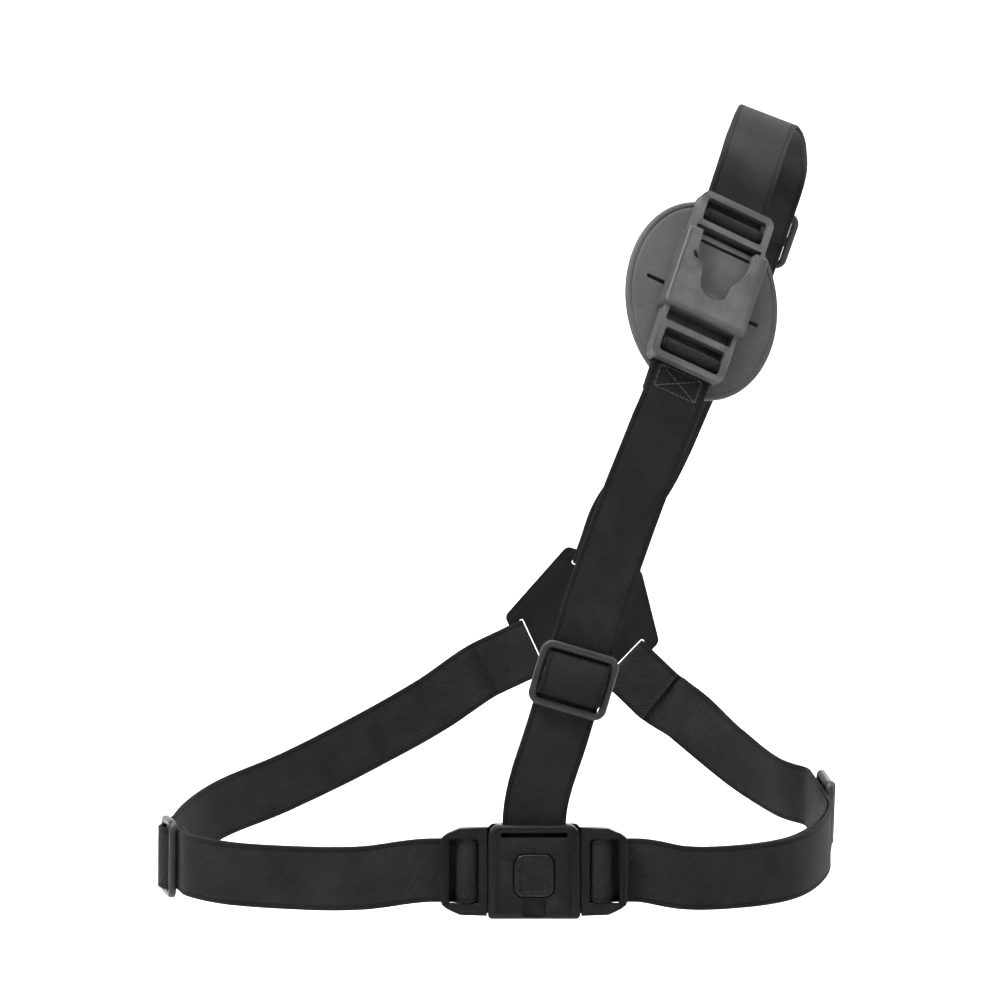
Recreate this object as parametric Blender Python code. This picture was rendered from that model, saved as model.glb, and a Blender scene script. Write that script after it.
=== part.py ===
"""One-shoulder chest harness of 25 mm webbing, in the shape it takes when worn.

The figures below are millimetres in a frame fixed in the wearer: +X to the wearer's left, -Y to the front,
+Z up, with its middle inside the chest. The model's origin is the point under the strap on top of the
shoulder, so at() takes SHOULDER_REST away and turns millimetres into metres.

A strap follows a Route, a smooth line over the body with an outward normal. Its layers are drawn along the
route as (distance, height) points, and hardware sits on the route in frames whose axes are X across the
strap, Y along it and Z outward.
"""

import math

import bmesh
import bpy
from mathutils import Matrix, Vector

MM = 0.001
SHOULDER_REST = Vector((111.0, 0.0, 150.0))

# Webbing
WEB_WIDTH = 25.4
WEB_THICK = 1.5
INNER = WEB_THICK / 2  # height of the layer that lies on the body
OUTER = 2.65  # height of the second layer, 0.4 mm clear of the first
SLOT_HALF = 13.3  # half the inner width of whatever the webbing passes through
STEP = 9.0  # longest straight piece of a strap
SEWN_TAIL = 19.0  # from the bar that a strap is sewn round to the end of its tail

# Sliding adjusters
SLIDER_SIZE = (32.0, 26.5)
SLIDER_SLOT_HALF = 13.0
SLIDER_BAR = 3.0
SLIDER_LOW, SLIDER_HIGH = 3.9, 7.1
SLIDER_FLAT = 22.0  # half the straight run that an adjuster moves along

# Dock
DOCK_CENTRE = Vector((82.0, -85.0, 77.5))
DOCK_DOWN = Vector((-0.3034, -0.3628, -0.8810))
DOCK_NORMAL = Vector((0.351, -0.902, 0.251))
DOCK_HALF = 37.5
DOCK_HALF_WIDTH = 16.3
BLOCK_HALF_WIDTH = 18.0
BLOCK_TOP, BLOCK_BOTTOM = 19.7, -15.8
BLOCK_HIGH = 10.6
UPPER_WINDOW = (24.8, 34.7)
LOWER_WINDOW = (-34.7, -24.4)
UPPER_BAR, LOWER_BAR = 28.4, -30.6
WEB_BAR_HIGH, WEB_BAR_RADIUS = 5.0, 1.3
U_RADIUS = 6.9
RECESS_FLOOR = 6.4
CATCH_HINGE = (16.6, 4.6)
CATCH_HALF = 12.2
PAD_SIZE = (66.0, 83.0)
PAD_THICK = 2.4
PAD_GAP = 0.4
PAD_TURN = 19.0
PAD_SHIFT = Matrix.Translation((0.0, -3.9, 0.0))
PAD_SLIT_HALF = 25.4

# Three-way buckle
BUCKLE_CENTRE = Vector((13.0, -96.0, -153.6))
BODY_HALF = (18.4, 18.7)
BACK_LOW, BACK_HIGH = 0.5, 2.5
FRONT_LOW, FRONT_HIGH = 2.8, 12.6
BUTTON_SIZE = (16.0, 17.0)
BUTTON_Y = -1.4
LATCH_BAR_X, LATCH_BAR_HIGH, LATCH_BAR_RADIUS = 26.3, 6.4, 2.6
LATCH_END = 37.4
LATCH_HALF = 17.6
LATCH_SLOT_HALF = 13.05
FRONT_STRAP_LIFT = 3.0  # the front strap lies on the buckle's back cover
TOP_BAR_Y = 12.2

# Back plate
PLATE_CENTRE = Vector((35.8, 106.0, -62.6))
PLATE_APOTHEM = 29.9  # from the middle to each edge that holds a strap
PLATE_EDGE_HALF = 17.2
PLATE_LOW, PLATE_HIGH = 1.9, 4.9
PLATE_BAR = 27.6  # centre line of the edge bar that a strap is sewn round
PLATE_BAR_HALF = 2.3
PLATE_SLOT_HALF = 13.4
PLATE_SLOT_WIDE = 2.4
PLATE_DIRECTIONS = {"shoulder": 108.0, "left_waist": 224.0, "right_waist": 335.0}


def at(point):
    return (Vector(point) - SHOULDER_REST) * MM


# ---------------------------------------------------------------------------------------------- materials


def material(name, colour, roughness, metallic=0.0):
    made = bpy.data.materials.new(name)
    made.use_nodes = True
    shader = made.node_tree.nodes["Principled BSDF"]
    shader.inputs["Base Color"].default_value = (*colour, 1.0)
    shader.inputs["Roughness"].default_value = roughness
    shader.inputs["Metallic"].default_value = metallic
    return made


# ------------------------------------------------------------------------------------------------- routes


def straight(centre, direction, normal, before, after):
    """Two stations with a straight run between them, for hardware to sit on."""
    centre, direction = Vector(centre), Vector(direction).normalized()
    return [
        (centre - direction * before, normal, direction),
        (centre + direction * after, normal, direction),
    ]


class Route:
    """A smooth line through stations, each a point, an outward normal and, where it matters, a direction."""

    SAMPLES = 24

    def __init__(self, stations):
        points = [Vector(station[0]) for station in stations]
        normals = [Vector(station[1]).normalized() for station in stations]
        slopes = []
        for i, station in enumerate(stations):
            if len(station) > 2:
                slopes.append(Vector(station[2]).normalized())
                continue
            back = points[i] - points[i - 1]
            ahead = points[i + 1] - points[i]
            slope = back / back.length**2 + ahead / ahead.length**2
            slopes.append(slope.normalized())
        self.points = [points[0]]
        self.normals = [normals[0]]
        for i in range(len(points) - 1):
            reach = (points[i + 1] - points[i]).length
            for k in range(1, self.SAMPLES + 1):
                t = k / self.SAMPLES
                a = 2 * t**3 - 3 * t**2 + 1
                b = t**3 - 2 * t**2 + t
                c = 3 * t**2 - 2 * t**3
                d = t**3 - t**2
                self.points.append(
                    points[i] * a
                    + slopes[i] * (b * reach)
                    + points[i + 1] * c
                    + slopes[i + 1] * (d * reach)
                )
                self.normals.append(normals[i].lerp(normals[i + 1], c).normalized())
        self.ends = slopes[0], slopes[-1]
        self.lengths = [0.0]
        for before, after in zip(self.points, self.points[1:]):
            self.lengths.append(self.lengths[-1] + (after - before).length)
        self.length = self.lengths[-1]

    def nearest(self, point):
        """The distance along the route of its nearest place to a point."""
        gaps = [(Vector(point) - sample).length for sample in self.points]
        i = gaps.index(min(gaps))
        return self.lengths[i] + (Vector(point) - self.points[i]).dot(self.tangent(i))

    def tangent(self, i):
        if i == 0:
            return self.ends[0]
        if i == len(self.points) - 1:
            return self.ends[1]
        return (self.points[i + 1] - self.points[i - 1]).normalized()

    def frame(self, distance):
        """The frame at a distance: X across the strap, Y along it, Z outward. It runs on past the ends."""
        inside = min(max(distance, 0.0), self.length)
        i = 0
        while i < len(self.lengths) - 2 and self.lengths[i + 1] < inside:
            i += 1
        t = (inside - self.lengths[i]) / (self.lengths[i + 1] - self.lengths[i])
        along = self.tangent(i).lerp(self.tangent(i + 1), t).normalized()
        centre = self.points[i].lerp(self.points[i + 1], t) + along * (distance - inside)
        outward = self.normals[i].lerp(self.normals[i + 1], t)
        outward = (outward - along * outward.dot(along)).normalized()
        return frame_of(centre, along, outward)


def frame_of(centre, along, outward):
    across = along.cross(outward)
    turned = Matrix((across, along, outward)).transposed().to_4x4()
    return Matrix.Translation(centre) @ turned


# --------------------------------------------------------------------------------------------- mesh tools


def new_object(name, bm, finish, place=None):
    """Makes an object from a bmesh in metres, standing where place, a frame in millimetres, says."""
    bmesh.ops.recalc_face_normals(bm, faces=bm.faces)
    mesh = bpy.data.meshes.new(name)
    bm.to_mesh(mesh)
    bm.free()
    mesh.shade_smooth()
    mesh.set_sharp_from_angle(angle=math.radians(35))
    mesh.materials.append(finish)
    made = bpy.data.objects.new(name, mesh)
    bpy.context.collection.objects.link(made)
    if place is not None:
        turned = place.to_3x3().to_4x4()
        made.matrix_world = Matrix.Translation(at(place.translation)) @ turned
    return made


def rounded(width, height, radius, steps=4, centre=(0.0, 0.0)):
    """The corners of a rounded rectangle, anticlockwise."""
    found = []
    for turn, (sx, sy) in enumerate(((1, 1), (-1, 1), (-1, -1), (1, -1))):
        for k in range(steps + 1):
            angle = math.radians(90 * (turn + k / steps))
            found.append(
                (
                    centre[0] + sx * (width / 2 - radius) + radius * math.cos(angle),
                    centre[1] + sy * (height / 2 - radius) + radius * math.sin(angle),
                )
            )
    return found


def prism_mesh(outline, low, high, bm=None):
    """A closed prism over an outline in X and Y, from low to high in Z, all in millimetres."""
    bm = bm or bmesh.new()
    bottom = [bm.verts.new((x * MM, y * MM, low * MM)) for x, y in outline]
    top = [bm.verts.new((x * MM, y * MM, high * MM)) for x, y in outline]
    bm.faces.new(bottom[::-1])
    bm.faces.new(top)
    for i in range(len(outline)):
        j = (i + 1) % len(outline)
        bm.faces.new((bottom[i], bottom[j], top[j], top[i]))
    return bm


def box_mesh(x, y, z):
    """A box from pairs of limits in millimetres."""
    outline = ((x[0], y[0]), (x[1], y[0]), (x[1], y[1]), (x[0], y[1]))
    return prism_mesh(outline, z[0], z[1])


def rod_mesh(start, end, radius, sides=10):
    """A round rod between two points in millimetres."""
    start, end = Vector(start), Vector(end)
    bm = bmesh.new()
    turn = (end - start).to_track_quat("Z", "Y").to_matrix().to_4x4()
    bmesh.ops.create_cone(
        bm,
        cap_ends=True,
        segments=sides,
        radius1=radius * MM,
        radius2=radius * MM,
        depth=(end - start).length * MM,
        matrix=Matrix.Translation((start + end) / 2 * MM) @ turn,
    )
    return bm


def helper(bm, place=None):
    """A shape that a Boolean uses, left out of the model."""
    made = new_object("helper", bm, SHADES["guide"], place)
    made.hide_render = True
    made.display_type = "WIRE"
    return made


def combine(made, operation, shapes, place=None, solver="EXACT"):
    for bm in shapes:
        modifier = made.modifiers.new(operation.title(), "BOOLEAN")
        modifier.operation = operation
        modifier.solver = solver
        modifier.object = helper(bm, place)


def soften(made, width, segments=2, angle=40):
    bevel = made.modifiers.new("Bevel", "BEVEL")
    bevel.width = width * MM
    bevel.segments = segments
    bevel.limit_method = "ANGLE"
    bevel.angle_limit = math.radians(angle)


# ------------------------------------------------------------------------------------------------ webbing


class Layer:
    """The middle line of a strap, drawn as (distance along the route, height above the body)."""

    def __init__(self, *points):
        self.points = list(points)

    def to(self, distance, height):
        x, y = self.points[-1]
        count = max(1, math.ceil(math.hypot(distance - x, height - y) / STEP))
        for k in range(1, count + 1):
            t = k / count
            self.points.append((x + (distance - x) * t, y + (height - y) * t))

    def ramp(self, distance, height, count=4):
        """An S-shaped change of height."""
        x, y = self.points[-1]
        for k in range(1, count + 1):
            t = k / count
            rise = 3 * t**2 - 2 * t**3
            self.points.append((x + (distance - x) * t, y + (height - y) * rise))

    def arc(self, centre, radii, start, end, count=9, power=1.0):
        """Part of an oval round a bar, angles in degrees from the route's direction towards outward.

        A power below 1 squares the oval off.
        """
        for k in range(count + 1):
            angle = math.radians(start + (end - start) * k / count)
            across, up = math.cos(angle), math.sin(angle)
            across = math.copysign(abs(across) ** power, across)
            up = math.copysign(abs(up) ** power, up)
            self.points.append((centre[0] + radii[0] * across, centre[1] + radii[1] * up))


def webbing(name, route, layer, finish):
    """One flat strap: the layer's line made WEB_THICK thick and swept across WEB_WIDTH."""
    bm = bmesh.new()
    points = [Vector(point) for point in layer.points]
    rings = []
    for i, point in enumerate(points):
        before = (point - points[i - 1]).normalized() if i else None
        after = (points[i + 1] - point).normalized() if i < len(points) - 1 else None
        middle = ((before or after) + (after or before)).normalized()
        stretch = 1 / max(0.5, middle.dot(before or after))
        offset = Vector((-middle.y, middle.x)) * (WEB_THICK / 2 * stretch)
        ring = []
        for side, face in ((-1, -1), (1, -1), (1, 1), (-1, 1)):
            distance, height = point + offset * face
            corner = route.frame(distance) @ Vector((side * WEB_WIDTH / 2, 0.0, height))
            ring.append(bm.verts.new(at(corner)))
        rings.append(ring)
    for first, second in zip(rings, rings[1:]):
        for i in range(4):
            j = (i + 1) % 4
            bm.faces.new((first[i], first[j], second[j], second[i]))
    bm.faces.new(rings[0][::-1])
    bm.faces.new(rings[-1])
    return new_object(name, bm, finish)


def wrap_of(kind):
    """How webbing goes round a bar.

    It gives the bar's height, the radii of the webbing's middle line, its squareness, how far above the
    route it leaves the bar in degrees, and the length of its slope down from there.
    """
    return {
        "plate": (3.4, (3.35, 2.6), 0.5, 30.0, 1.2),
        "dock": (WEB_BAR_HIGH, (2.4, 2.4), 1.0, 0.0, 1.2),
        "latch": (LATCH_BAR_HIGH, (3.7, 3.7), 1.0, 0.0, 1.2),
        "buckle": (2.6, (2.7, 1.85), 0.5, 30.0, 0.3),
    }[kind]


def strap_layer(sewn_bar, sewn_kind, slider, anchor_bar, anchor_kind):
    """A whole strap: sewn round one bar, single to its adjuster, then doubled round the anchor bar."""
    high, (reach, rise), power, leave, slope = wrap_of(sewn_kind)
    layer = Layer((sewn_bar + SEWN_TAIL, INNER))
    layer.to(sewn_bar + 5.0, INNER)
    layer.arc((sewn_bar, high), (reach, rise), -75, leave - 360, power=power)
    layer.to(sewn_bar + reach + slope, OUTER + 0.4)
    layer.to(sewn_bar + reach + slope + 1.6, OUTER)
    layer.to(sewn_bar + SEWN_TAIL + 2.0, OUTER)
    layer.ramp(sewn_bar + SEWN_TAIL + 12.0, INNER)
    layer.to(slider - SLIDER_FLAT - 10.0, INNER)
    layer.ramp(slider - SLIDER_FLAT - 0.5, OUTER)
    high, (reach, rise), power, leave, slope = wrap_of(anchor_kind)
    layer.to(anchor_bar - reach - slope - 1.6, OUTER)
    layer.to(anchor_bar - reach - slope, OUTER + 0.4)
    layer.arc((anchor_bar, high), (reach, rise), 180 - leave, -105, power=power)
    layer.to(anchor_bar - 5.0, INNER)
    layer.to(slider, INNER)
    return layer


# ----------------------------------------------------------------------------------------------- adjusters


def slider_frame(name, place):
    width, height = SLIDER_SIZE
    plate = prism_mesh(rounded(width, height, 5.0), SLIDER_LOW, SLIDER_HIGH)
    made = new_object(name, plate, SHADES["nylon"], place)
    window = rounded(2 * SLIDER_SLOT_HALF, height - 2 * SLIDER_BAR, 1.2, 2)
    combine(made, "DIFFERENCE", [prism_mesh(window, SLIDER_LOW - 1, SLIDER_HIGH + 1)], place)
    soften(made, 0.7)
    reach = SLOT_HALF + 0.8
    bar = box_mesh((-reach, reach), (-1.9, 1.9), (SLIDER_LOW + 0.5, SLIDER_HIGH - 0.7))
    combine(made, "UNION", [bar], place)
    return made


def slider_web(name, route, distance):
    """The part of the strap that arches over the adjuster's middle bar and moves with it."""
    layer = Layer()
    layer.arc((distance - 0.4, 4.75), (8.5, 3.6), 180, 0, 14)
    return webbing(name, route, layer, SHADES["webbing"])


# ---------------------------------------------------------------------------------------------------- dock


def funnel_outline():
    """The opening in the dock's face: wide at the top, then a U that the device's stud drops into."""
    top = BLOCK_TOP + 2.0
    side = [(12.2, top), (11.6, 11.0), (10.6, 8.0), (8.0, 4.6), (U_RADIUS, 1.6)]
    base = -6.8 + U_RADIUS
    arc = [
        (U_RADIUS * math.cos(math.radians(a)), base + U_RADIUS * math.sin(math.radians(a)))
        for a in range(0, -181, -18)
    ]
    return side + arc + [(-x, y) for x, y in reversed(side)]


def dock_body(place):
    frame = rounded(2 * DOCK_HALF_WIDTH, 2 * DOCK_HALF, 3.6, 3)
    made = new_object("dock_body", prism_mesh(frame, 0.4, 8.0), SHADES["dock"], place)
    across = (-SLOT_HALF, SLOT_HALF)
    through = (-1.0, 12.0)
    cuts = [
        box_mesh(across, UPPER_WINDOW, through),
        box_mesh(across, LOWER_WINDOW, through),
        box_mesh(across, (24.0, 40.0), (-1.0, 4.2)),
        box_mesh(across, (-40.0, -23.6), (-1.0, 4.2)),
        box_mesh((-14.6, 14.6), (BLOCK_TOP, 22.2), (2.6, 12.0)),
        box_mesh((-14.6, 14.6), (-21.5, BLOCK_BOTTOM), (2.6, 12.0)),
    ]
    combine(made, "DIFFERENCE", cuts, place)
    block_size = (2 * BLOCK_HALF_WIDTH, BLOCK_TOP - BLOCK_BOTTOM)
    block = rounded(*block_size, 2.0, 2, (0.0, (BLOCK_TOP + BLOCK_BOTTOM) / 2))
    combine(made, "UNION", [prism_mesh(block, 0.4, BLOCK_HIGH)], place)
    cavity = rounded(25.6, 29.6, 2.0, 2, (0.0, 3.0))
    openings = [
        prism_mesh(funnel_outline(), RECESS_FLOOR - 1.0, BLOCK_HIGH + 1),
        prism_mesh(cavity, 2.4, RECESS_FLOOR + 0.4),
        prism_mesh(rounded(22.0, 26.0, 2.0, 2, (0.0, 3.0)), -1.0, 3.0),
    ]
    combine(made, "DIFFERENCE", openings, place)
    soften(made, 0.6)
    reach = SLOT_HALF + 0.8
    bars = [
        rod_mesh((-reach, y, WEB_BAR_HIGH), (reach, y, WEB_BAR_HIGH), WEB_BAR_RADIUS)
        for y in (UPPER_BAR, LOWER_BAR)
    ]
    combine(made, "UNION", bars, place)
    return made


def dock_back_cover(place):
    outline = rounded(21.4, 25.4, 1.8, 2, (0.0, 3.0))
    return new_object("dock_back_cover", prism_mesh(outline, 0.5, 2.0), SHADES["dock"], place)


def dock_catch(place):
    """The sprung tongue that is the floor of the opening, with a ridge that snaps behind the stud."""
    bm = bmesh.new()
    side = [
        (0.0, -0.8),
        (0.0, 0.8),
        (-19.0, 0.8),
        (-20.2, 1.5),
        (-21.6, 1.5),
        (-22.6, 0.7),
        (-27.0, 0.7),
        (-27.0, -0.8),
    ]
    left = [bm.verts.new((-CATCH_HALF * MM, y * MM, z * MM)) for y, z in side]
    right = [bm.verts.new((CATCH_HALF * MM, y * MM, z * MM)) for y, z in side]
    bm.faces.new(left)
    bm.faces.new(right[::-1])
    for i in range(len(side)):
        j = (i + 1) % len(side)
        bm.faces.new((left[j], left[i], right[i], right[j]))
    shifted = place @ Matrix.Translation((0.0, *CATCH_HINGE))
    return new_object("dock_catch", bm, SHADES["dock"], shifted)


def dock_pad(place):
    """An upright oval pad under the dock, with one slit across it."""
    sides = 40
    turn = Matrix.Rotation(math.radians(PAD_TURN), 2)
    outline = []
    for k in range(sides):
        angle = 2 * math.pi * k / sides
        corner = Vector((PAD_SIZE[0] / 2 * math.cos(angle), PAD_SIZE[1] / 2 * math.sin(angle)))
        outline.append(turn @ corner)
    low, high = -PAD_GAP - PAD_THICK, -PAD_GAP
    made = new_object("dock_pad", prism_mesh(outline, low, high), SHADES["pad"], place @ PAD_SHIFT)
    soften(made, 0.8, 2)
    slit = rounded(2 * PAD_SLIT_HALF, 1.8, 0.8, 2)
    combine(made, "DIFFERENCE", [prism_mesh(slit, low - 1, high + 1)], place @ PAD_SHIFT)
    return made


def pad_keeper(place):
    """The flat key that holds the pad: it stands sunk in the slit and its foot lies behind the pad."""
    low = -PAD_GAP - PAD_THICK - 1.4
    reach = PAD_SLIT_HALF - 0.4
    web = box_mesh((-reach, reach), (-0.5, 0.5), (low, -PAD_GAP - 0.9))
    made = new_object("pad_keeper", web, SHADES["dock"], place @ PAD_SHIFT)
    foot = rounded(28.0, 7.0, 2.0, 3)
    combine(made, "UNION", [prism_mesh(foot, low - 0.1, low + 1.0)], place @ PAD_SHIFT)
    return made


# --------------------------------------------------------------------------------------------------- buckle


def latch_outline():
    return [
        (18.75, -LATCH_HALF),
        (29.5, -17.2),
        (34.6, -15.0),
        (36.7, -13.4),
        (LATCH_END, -11.0),
        (LATCH_END, 11.0),
        (36.7, 13.4),
        (34.6, 15.0),
        (29.5, 17.2),
        (18.75, LATCH_HALF),
    ]


def latch(name, side, place):
    """A side latch: a frame round a strap bar, with two hooked prongs and a guide that enter the body."""
    turn = Matrix.Identity(4) if side > 0 else Matrix.Rotation(math.pi, 4, "Z")
    place = place @ turn
    made = new_object(name, prism_mesh(latch_outline(), 2.2, 10.4), SHADES["nylon"], place)
    soften(made, 0.8)
    cuts = [
        box_mesh((21.6, 34.0), (-LATCH_SLOT_HALF, LATCH_SLOT_HALF), (-1.0, 12.0)),
        box_mesh((21.6, 40.0), (-LATCH_SLOT_HALF, LATCH_SLOT_HALF), (-1.0, 4.2)),
        box_mesh((33.4, 40.0), (-20.0, 20.0), (8.8, 12.0)),
    ]
    combine(made, "DIFFERENCE", cuts, place)
    reach = SLOT_HALF + 0.8
    ends = [(LATCH_BAR_X, y, LATCH_BAR_HIGH) for y in (-reach, reach)]
    bar = rod_mesh(*ends, LATCH_BAR_RADIUS, 14)
    guide = box_mesh((15.5, 20.5), (-8.9, 8.9), (4.0, 6.8))
    shapes = [bar, guide]
    for way in (-1, 1):
        prong = [(20.0, 4.6), (5.4, 4.9), (4.2, 6.0), (4.6, 8.3), (7.4, 8.3), (7.8, 6.9), (20.0, 7.4)]
        outline = [(x, way * y) for x, y in prong]
        shapes.append(prism_mesh(outline if way > 0 else outline[::-1], 4.2, 6.3))
    combine(made, "UNION", shapes, place)
    return made


def front_cover(place):
    width, height = BODY_HALF
    outline = [
        (-width, -height),
        (width, -height),
        (width, 15.4),
        (15.4, height),
        (-15.4, height),
        (-width, 15.4),
    ]
    block = prism_mesh(outline, FRONT_LOW, FRONT_HIGH)
    made = new_object("buckle_front_cover", block, SHADES["nylon"], place)
    soften(made, 1.6, 3)
    hole = rounded(BUTTON_SIZE[0] + 0.8, BUTTON_SIZE[1] + 0.8, 4.4, 4, (0.0, BUTTON_Y))
    cuts = [
        box_mesh((-16.2, 16.2), (-13.4, 9.4), (FRONT_LOW - 1, 8.8)),
        box_mesh((-20.0, 20.0), (-11.0, 9.1), (3.8, 7.4)),
        box_mesh((-SLOT_HALF, SLOT_HALF), (8.5, 22.0), (FRONT_LOW - 1, 7.1)),
        box_mesh((-SLOT_HALF, SLOT_HALF), (8.3, 15.5), (6.0, 8.7)),
        box_mesh((-SLOT_HALF, SLOT_HALF), (13.8, 15.6), (6.1, 14.0)),
        box_mesh((-16.5, 16.5), (10.4, 14.0), (FRONT_LOW - 1, 6.75)),
        prism_mesh(hole, 8.0, 14.0),
        box_mesh((-4.6, 4.6), (-17.0, BUTTON_Y - 6.0), (11.4, 14.0)),
    ]
    combine(made, "DIFFERENCE", cuts, place, "MANIFOLD")
    return made


def back_cover(place):
    width, height = BODY_HALF
    outline = rounded(2 * width, 2 * height, 2.5, 3)
    block = prism_mesh(outline, BACK_LOW, BACK_HIGH)
    made = new_object("buckle_back_cover", block, SHADES["nylon"], place)
    soften(made, 0.5, 1)
    deep = (TOP_BAR_Y - 1.4, TOP_BAR_Y + 1.4)
    posts = [box_mesh((x - 1.2, x + 1.2), deep, (BACK_HIGH - 0.3, 6.4)) for x in (-14.9, 14.9)]
    bar = box_mesh((-15.2, 15.2), deep, (FRONT_STRAP_LIFT + 1.85, FRONT_STRAP_LIFT + 3.35))
    flange = box_mesh((-20.6, 20.6), (-17.2, 17.2), (BACK_LOW, BACK_LOW + 1.35))
    combine(made, "UNION", [*posts, bar, flange], place)
    return made


def push_button(place):
    """The release button: a plate with a dished face and a stem that presses the latch hooks free."""
    size = BUTTON_SIZE
    made = new_object(
        "push_button",
        prism_mesh(rounded(*size, 4.0, 5, (0.0, BUTTON_Y)), 9.3, 13.3),
        SHADES["button"],
        place,
    )
    soften(made, 0.9, 2)
    dish = rounded(size[0] - 4.2, size[1] - 4.2, 2.6, 4, (0.0, BUTTON_Y))
    combine(made, "DIFFERENCE", [prism_mesh(dish, 12.8, 14.0)], place)
    stem = rounded(6.0, 6.0, 2.0, 2, (0.0, BUTTON_Y))
    lugs = box_mesh((-3.4, 3.4), (BUTTON_Y - 9.4, BUTTON_Y + 9.4), (7.6, 8.4))
    neck = box_mesh((-3.2, 3.2), (BUTTON_Y - 7.9, BUTTON_Y + 7.9), (7.7, 9.9))
    combine(made, "UNION", [prism_mesh(stem, 7.4, 9.8), neck, lugs], place)
    return made


def button_spring(place):
    """A compression coil under the button's stem."""
    turns, steps, sides, radius, wire = 3, 12, 6, 2.2, 0.35
    low, high = BACK_HIGH + 0.7, 6.7
    bm = bmesh.new()
    rings = []
    for k in range(turns * steps + 1):
        angle = 2 * math.pi * k / steps
        height = low + (high - low) * k / (turns * steps)
        ring = []
        for j in range(sides):
            around = 2 * math.pi * j / sides
            out = radius + wire * math.cos(around)
            flat = (out * math.cos(angle), BUTTON_Y + out * math.sin(angle))
            ring.append(bm.verts.new(Vector((*flat, height + wire * math.sin(around))) * MM))
        rings.append(ring)
    for first, second in zip(rings, rings[1:]):
        for j in range(sides):
            k = (j + 1) % sides
            bm.faces.new((first[j], first[k], second[k], second[j]))
    bm.faces.new(rings[0][::-1])
    bm.faces.new(rings[-1])
    return new_object("button_spring", bm, SHADES["steel"], place)


# ------------------------------------------------------------------------------------------------ back plate


def back_plate(place):
    """A six-sided plate: three edges carry straps, and the other three join them."""
    corners = []
    for angle in PLATE_DIRECTIONS.values():
        turn = Matrix.Rotation(math.radians(angle - 90), 2)
        corners.append(turn @ Vector((PLATE_EDGE_HALF, PLATE_APOTHEM)))
        corners.append(turn @ Vector((-PLATE_EDGE_HALF, PLATE_APOTHEM)))
    outline = []
    for i, corner in enumerate(corners):
        before = (corners[i - 1] - corner).normalized() * 2.2
        after = (corners[(i + 1) % 6] - corner).normalized() * 2.2
        outline += [corner + before, corner + (before + after) * 0.25, corner + after]
    made = new_object("back_plate", prism_mesh(outline, PLATE_LOW, PLATE_HIGH), SHADES["plate"], place)
    slots = []
    for angle in PLATE_DIRECTIONS.values():
        middle = (0.0, PLATE_BAR - PLATE_BAR_HALF - PLATE_SLOT_WIDE / 2)
        slot = rounded(2 * PLATE_SLOT_HALF, PLATE_SLOT_WIDE, 0.9, 2, middle)
        turn = Matrix.Rotation(math.radians(angle - 90), 2)
        slots.append(prism_mesh([turn @ Vector(point) for point in slot], 0.0, 8.0))
    combine(made, "DIFFERENCE", slots, place)
    soften(made, 0.5, 1)
    return made


def plate_panel(place):
    """The raised panel in the middle of the plate, clear of its three slots."""
    outline = []
    for angle in PLATE_DIRECTIONS.values():
        turn = Matrix.Rotation(math.radians(angle - 90), 2)
        outline.append(turn @ Vector((12.5, 18.6)))
        outline.append(turn @ Vector((-12.5, 18.6)))
    low = PLATE_HIGH + 0.3
    made = new_object("back_plate_panel", prism_mesh(outline, low, low + 1.1), SHADES["plate"], place)
    soften(made, 0.5, 2)
    return made


# ------------------------------------------------------------------------------------------------- assembly


def out_of_plate(side):
    """A route's first two stations, straight out of the plate's slot on that side."""
    angle = math.radians(PLATE_DIRECTIONS[side])
    outward = Vector((-math.cos(angle), 0.0, math.sin(angle)))
    return straight(PLATE_CENTRE, outward, (0.0, 1.0, 0.0), -20.0, 44.0)


SLIDER_PLACES = {
    "shoulder": ((109.5, 71.0, 105.0), (0.28, -0.42, 0.86), (0.16, 0.88, 0.42)),
    "front": ((28.3, -105.5, -77.0), (-0.285, 0.02, -0.96), (0.06, -0.995, 0.0)),
    "left_waist": ((130.5, 20.0, -139.0), (0.12, -0.97, -0.20), (0.99, 0.12, 0.0)),
    "right_waist": ((-131.5, -30.0, -153.5), (0.20, -0.98, -0.05), (-0.98, -0.20, 0.0)),
}


def at_slider(name):
    return straight(*SLIDER_PLACES[name], SLIDER_FLAT, SLIDER_FLAT)


def into_latch(side):
    """A waist route's last two stations, straight in under a latch."""
    bar = BUCKLE_CENTRE + Vector((side * LATCH_BAR_X, 0.0, 0.0))
    return straight(bar, (-side, 0.0, 0.0), (0.0, -1.0, 0.0), 14.0, 6.0)


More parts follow.
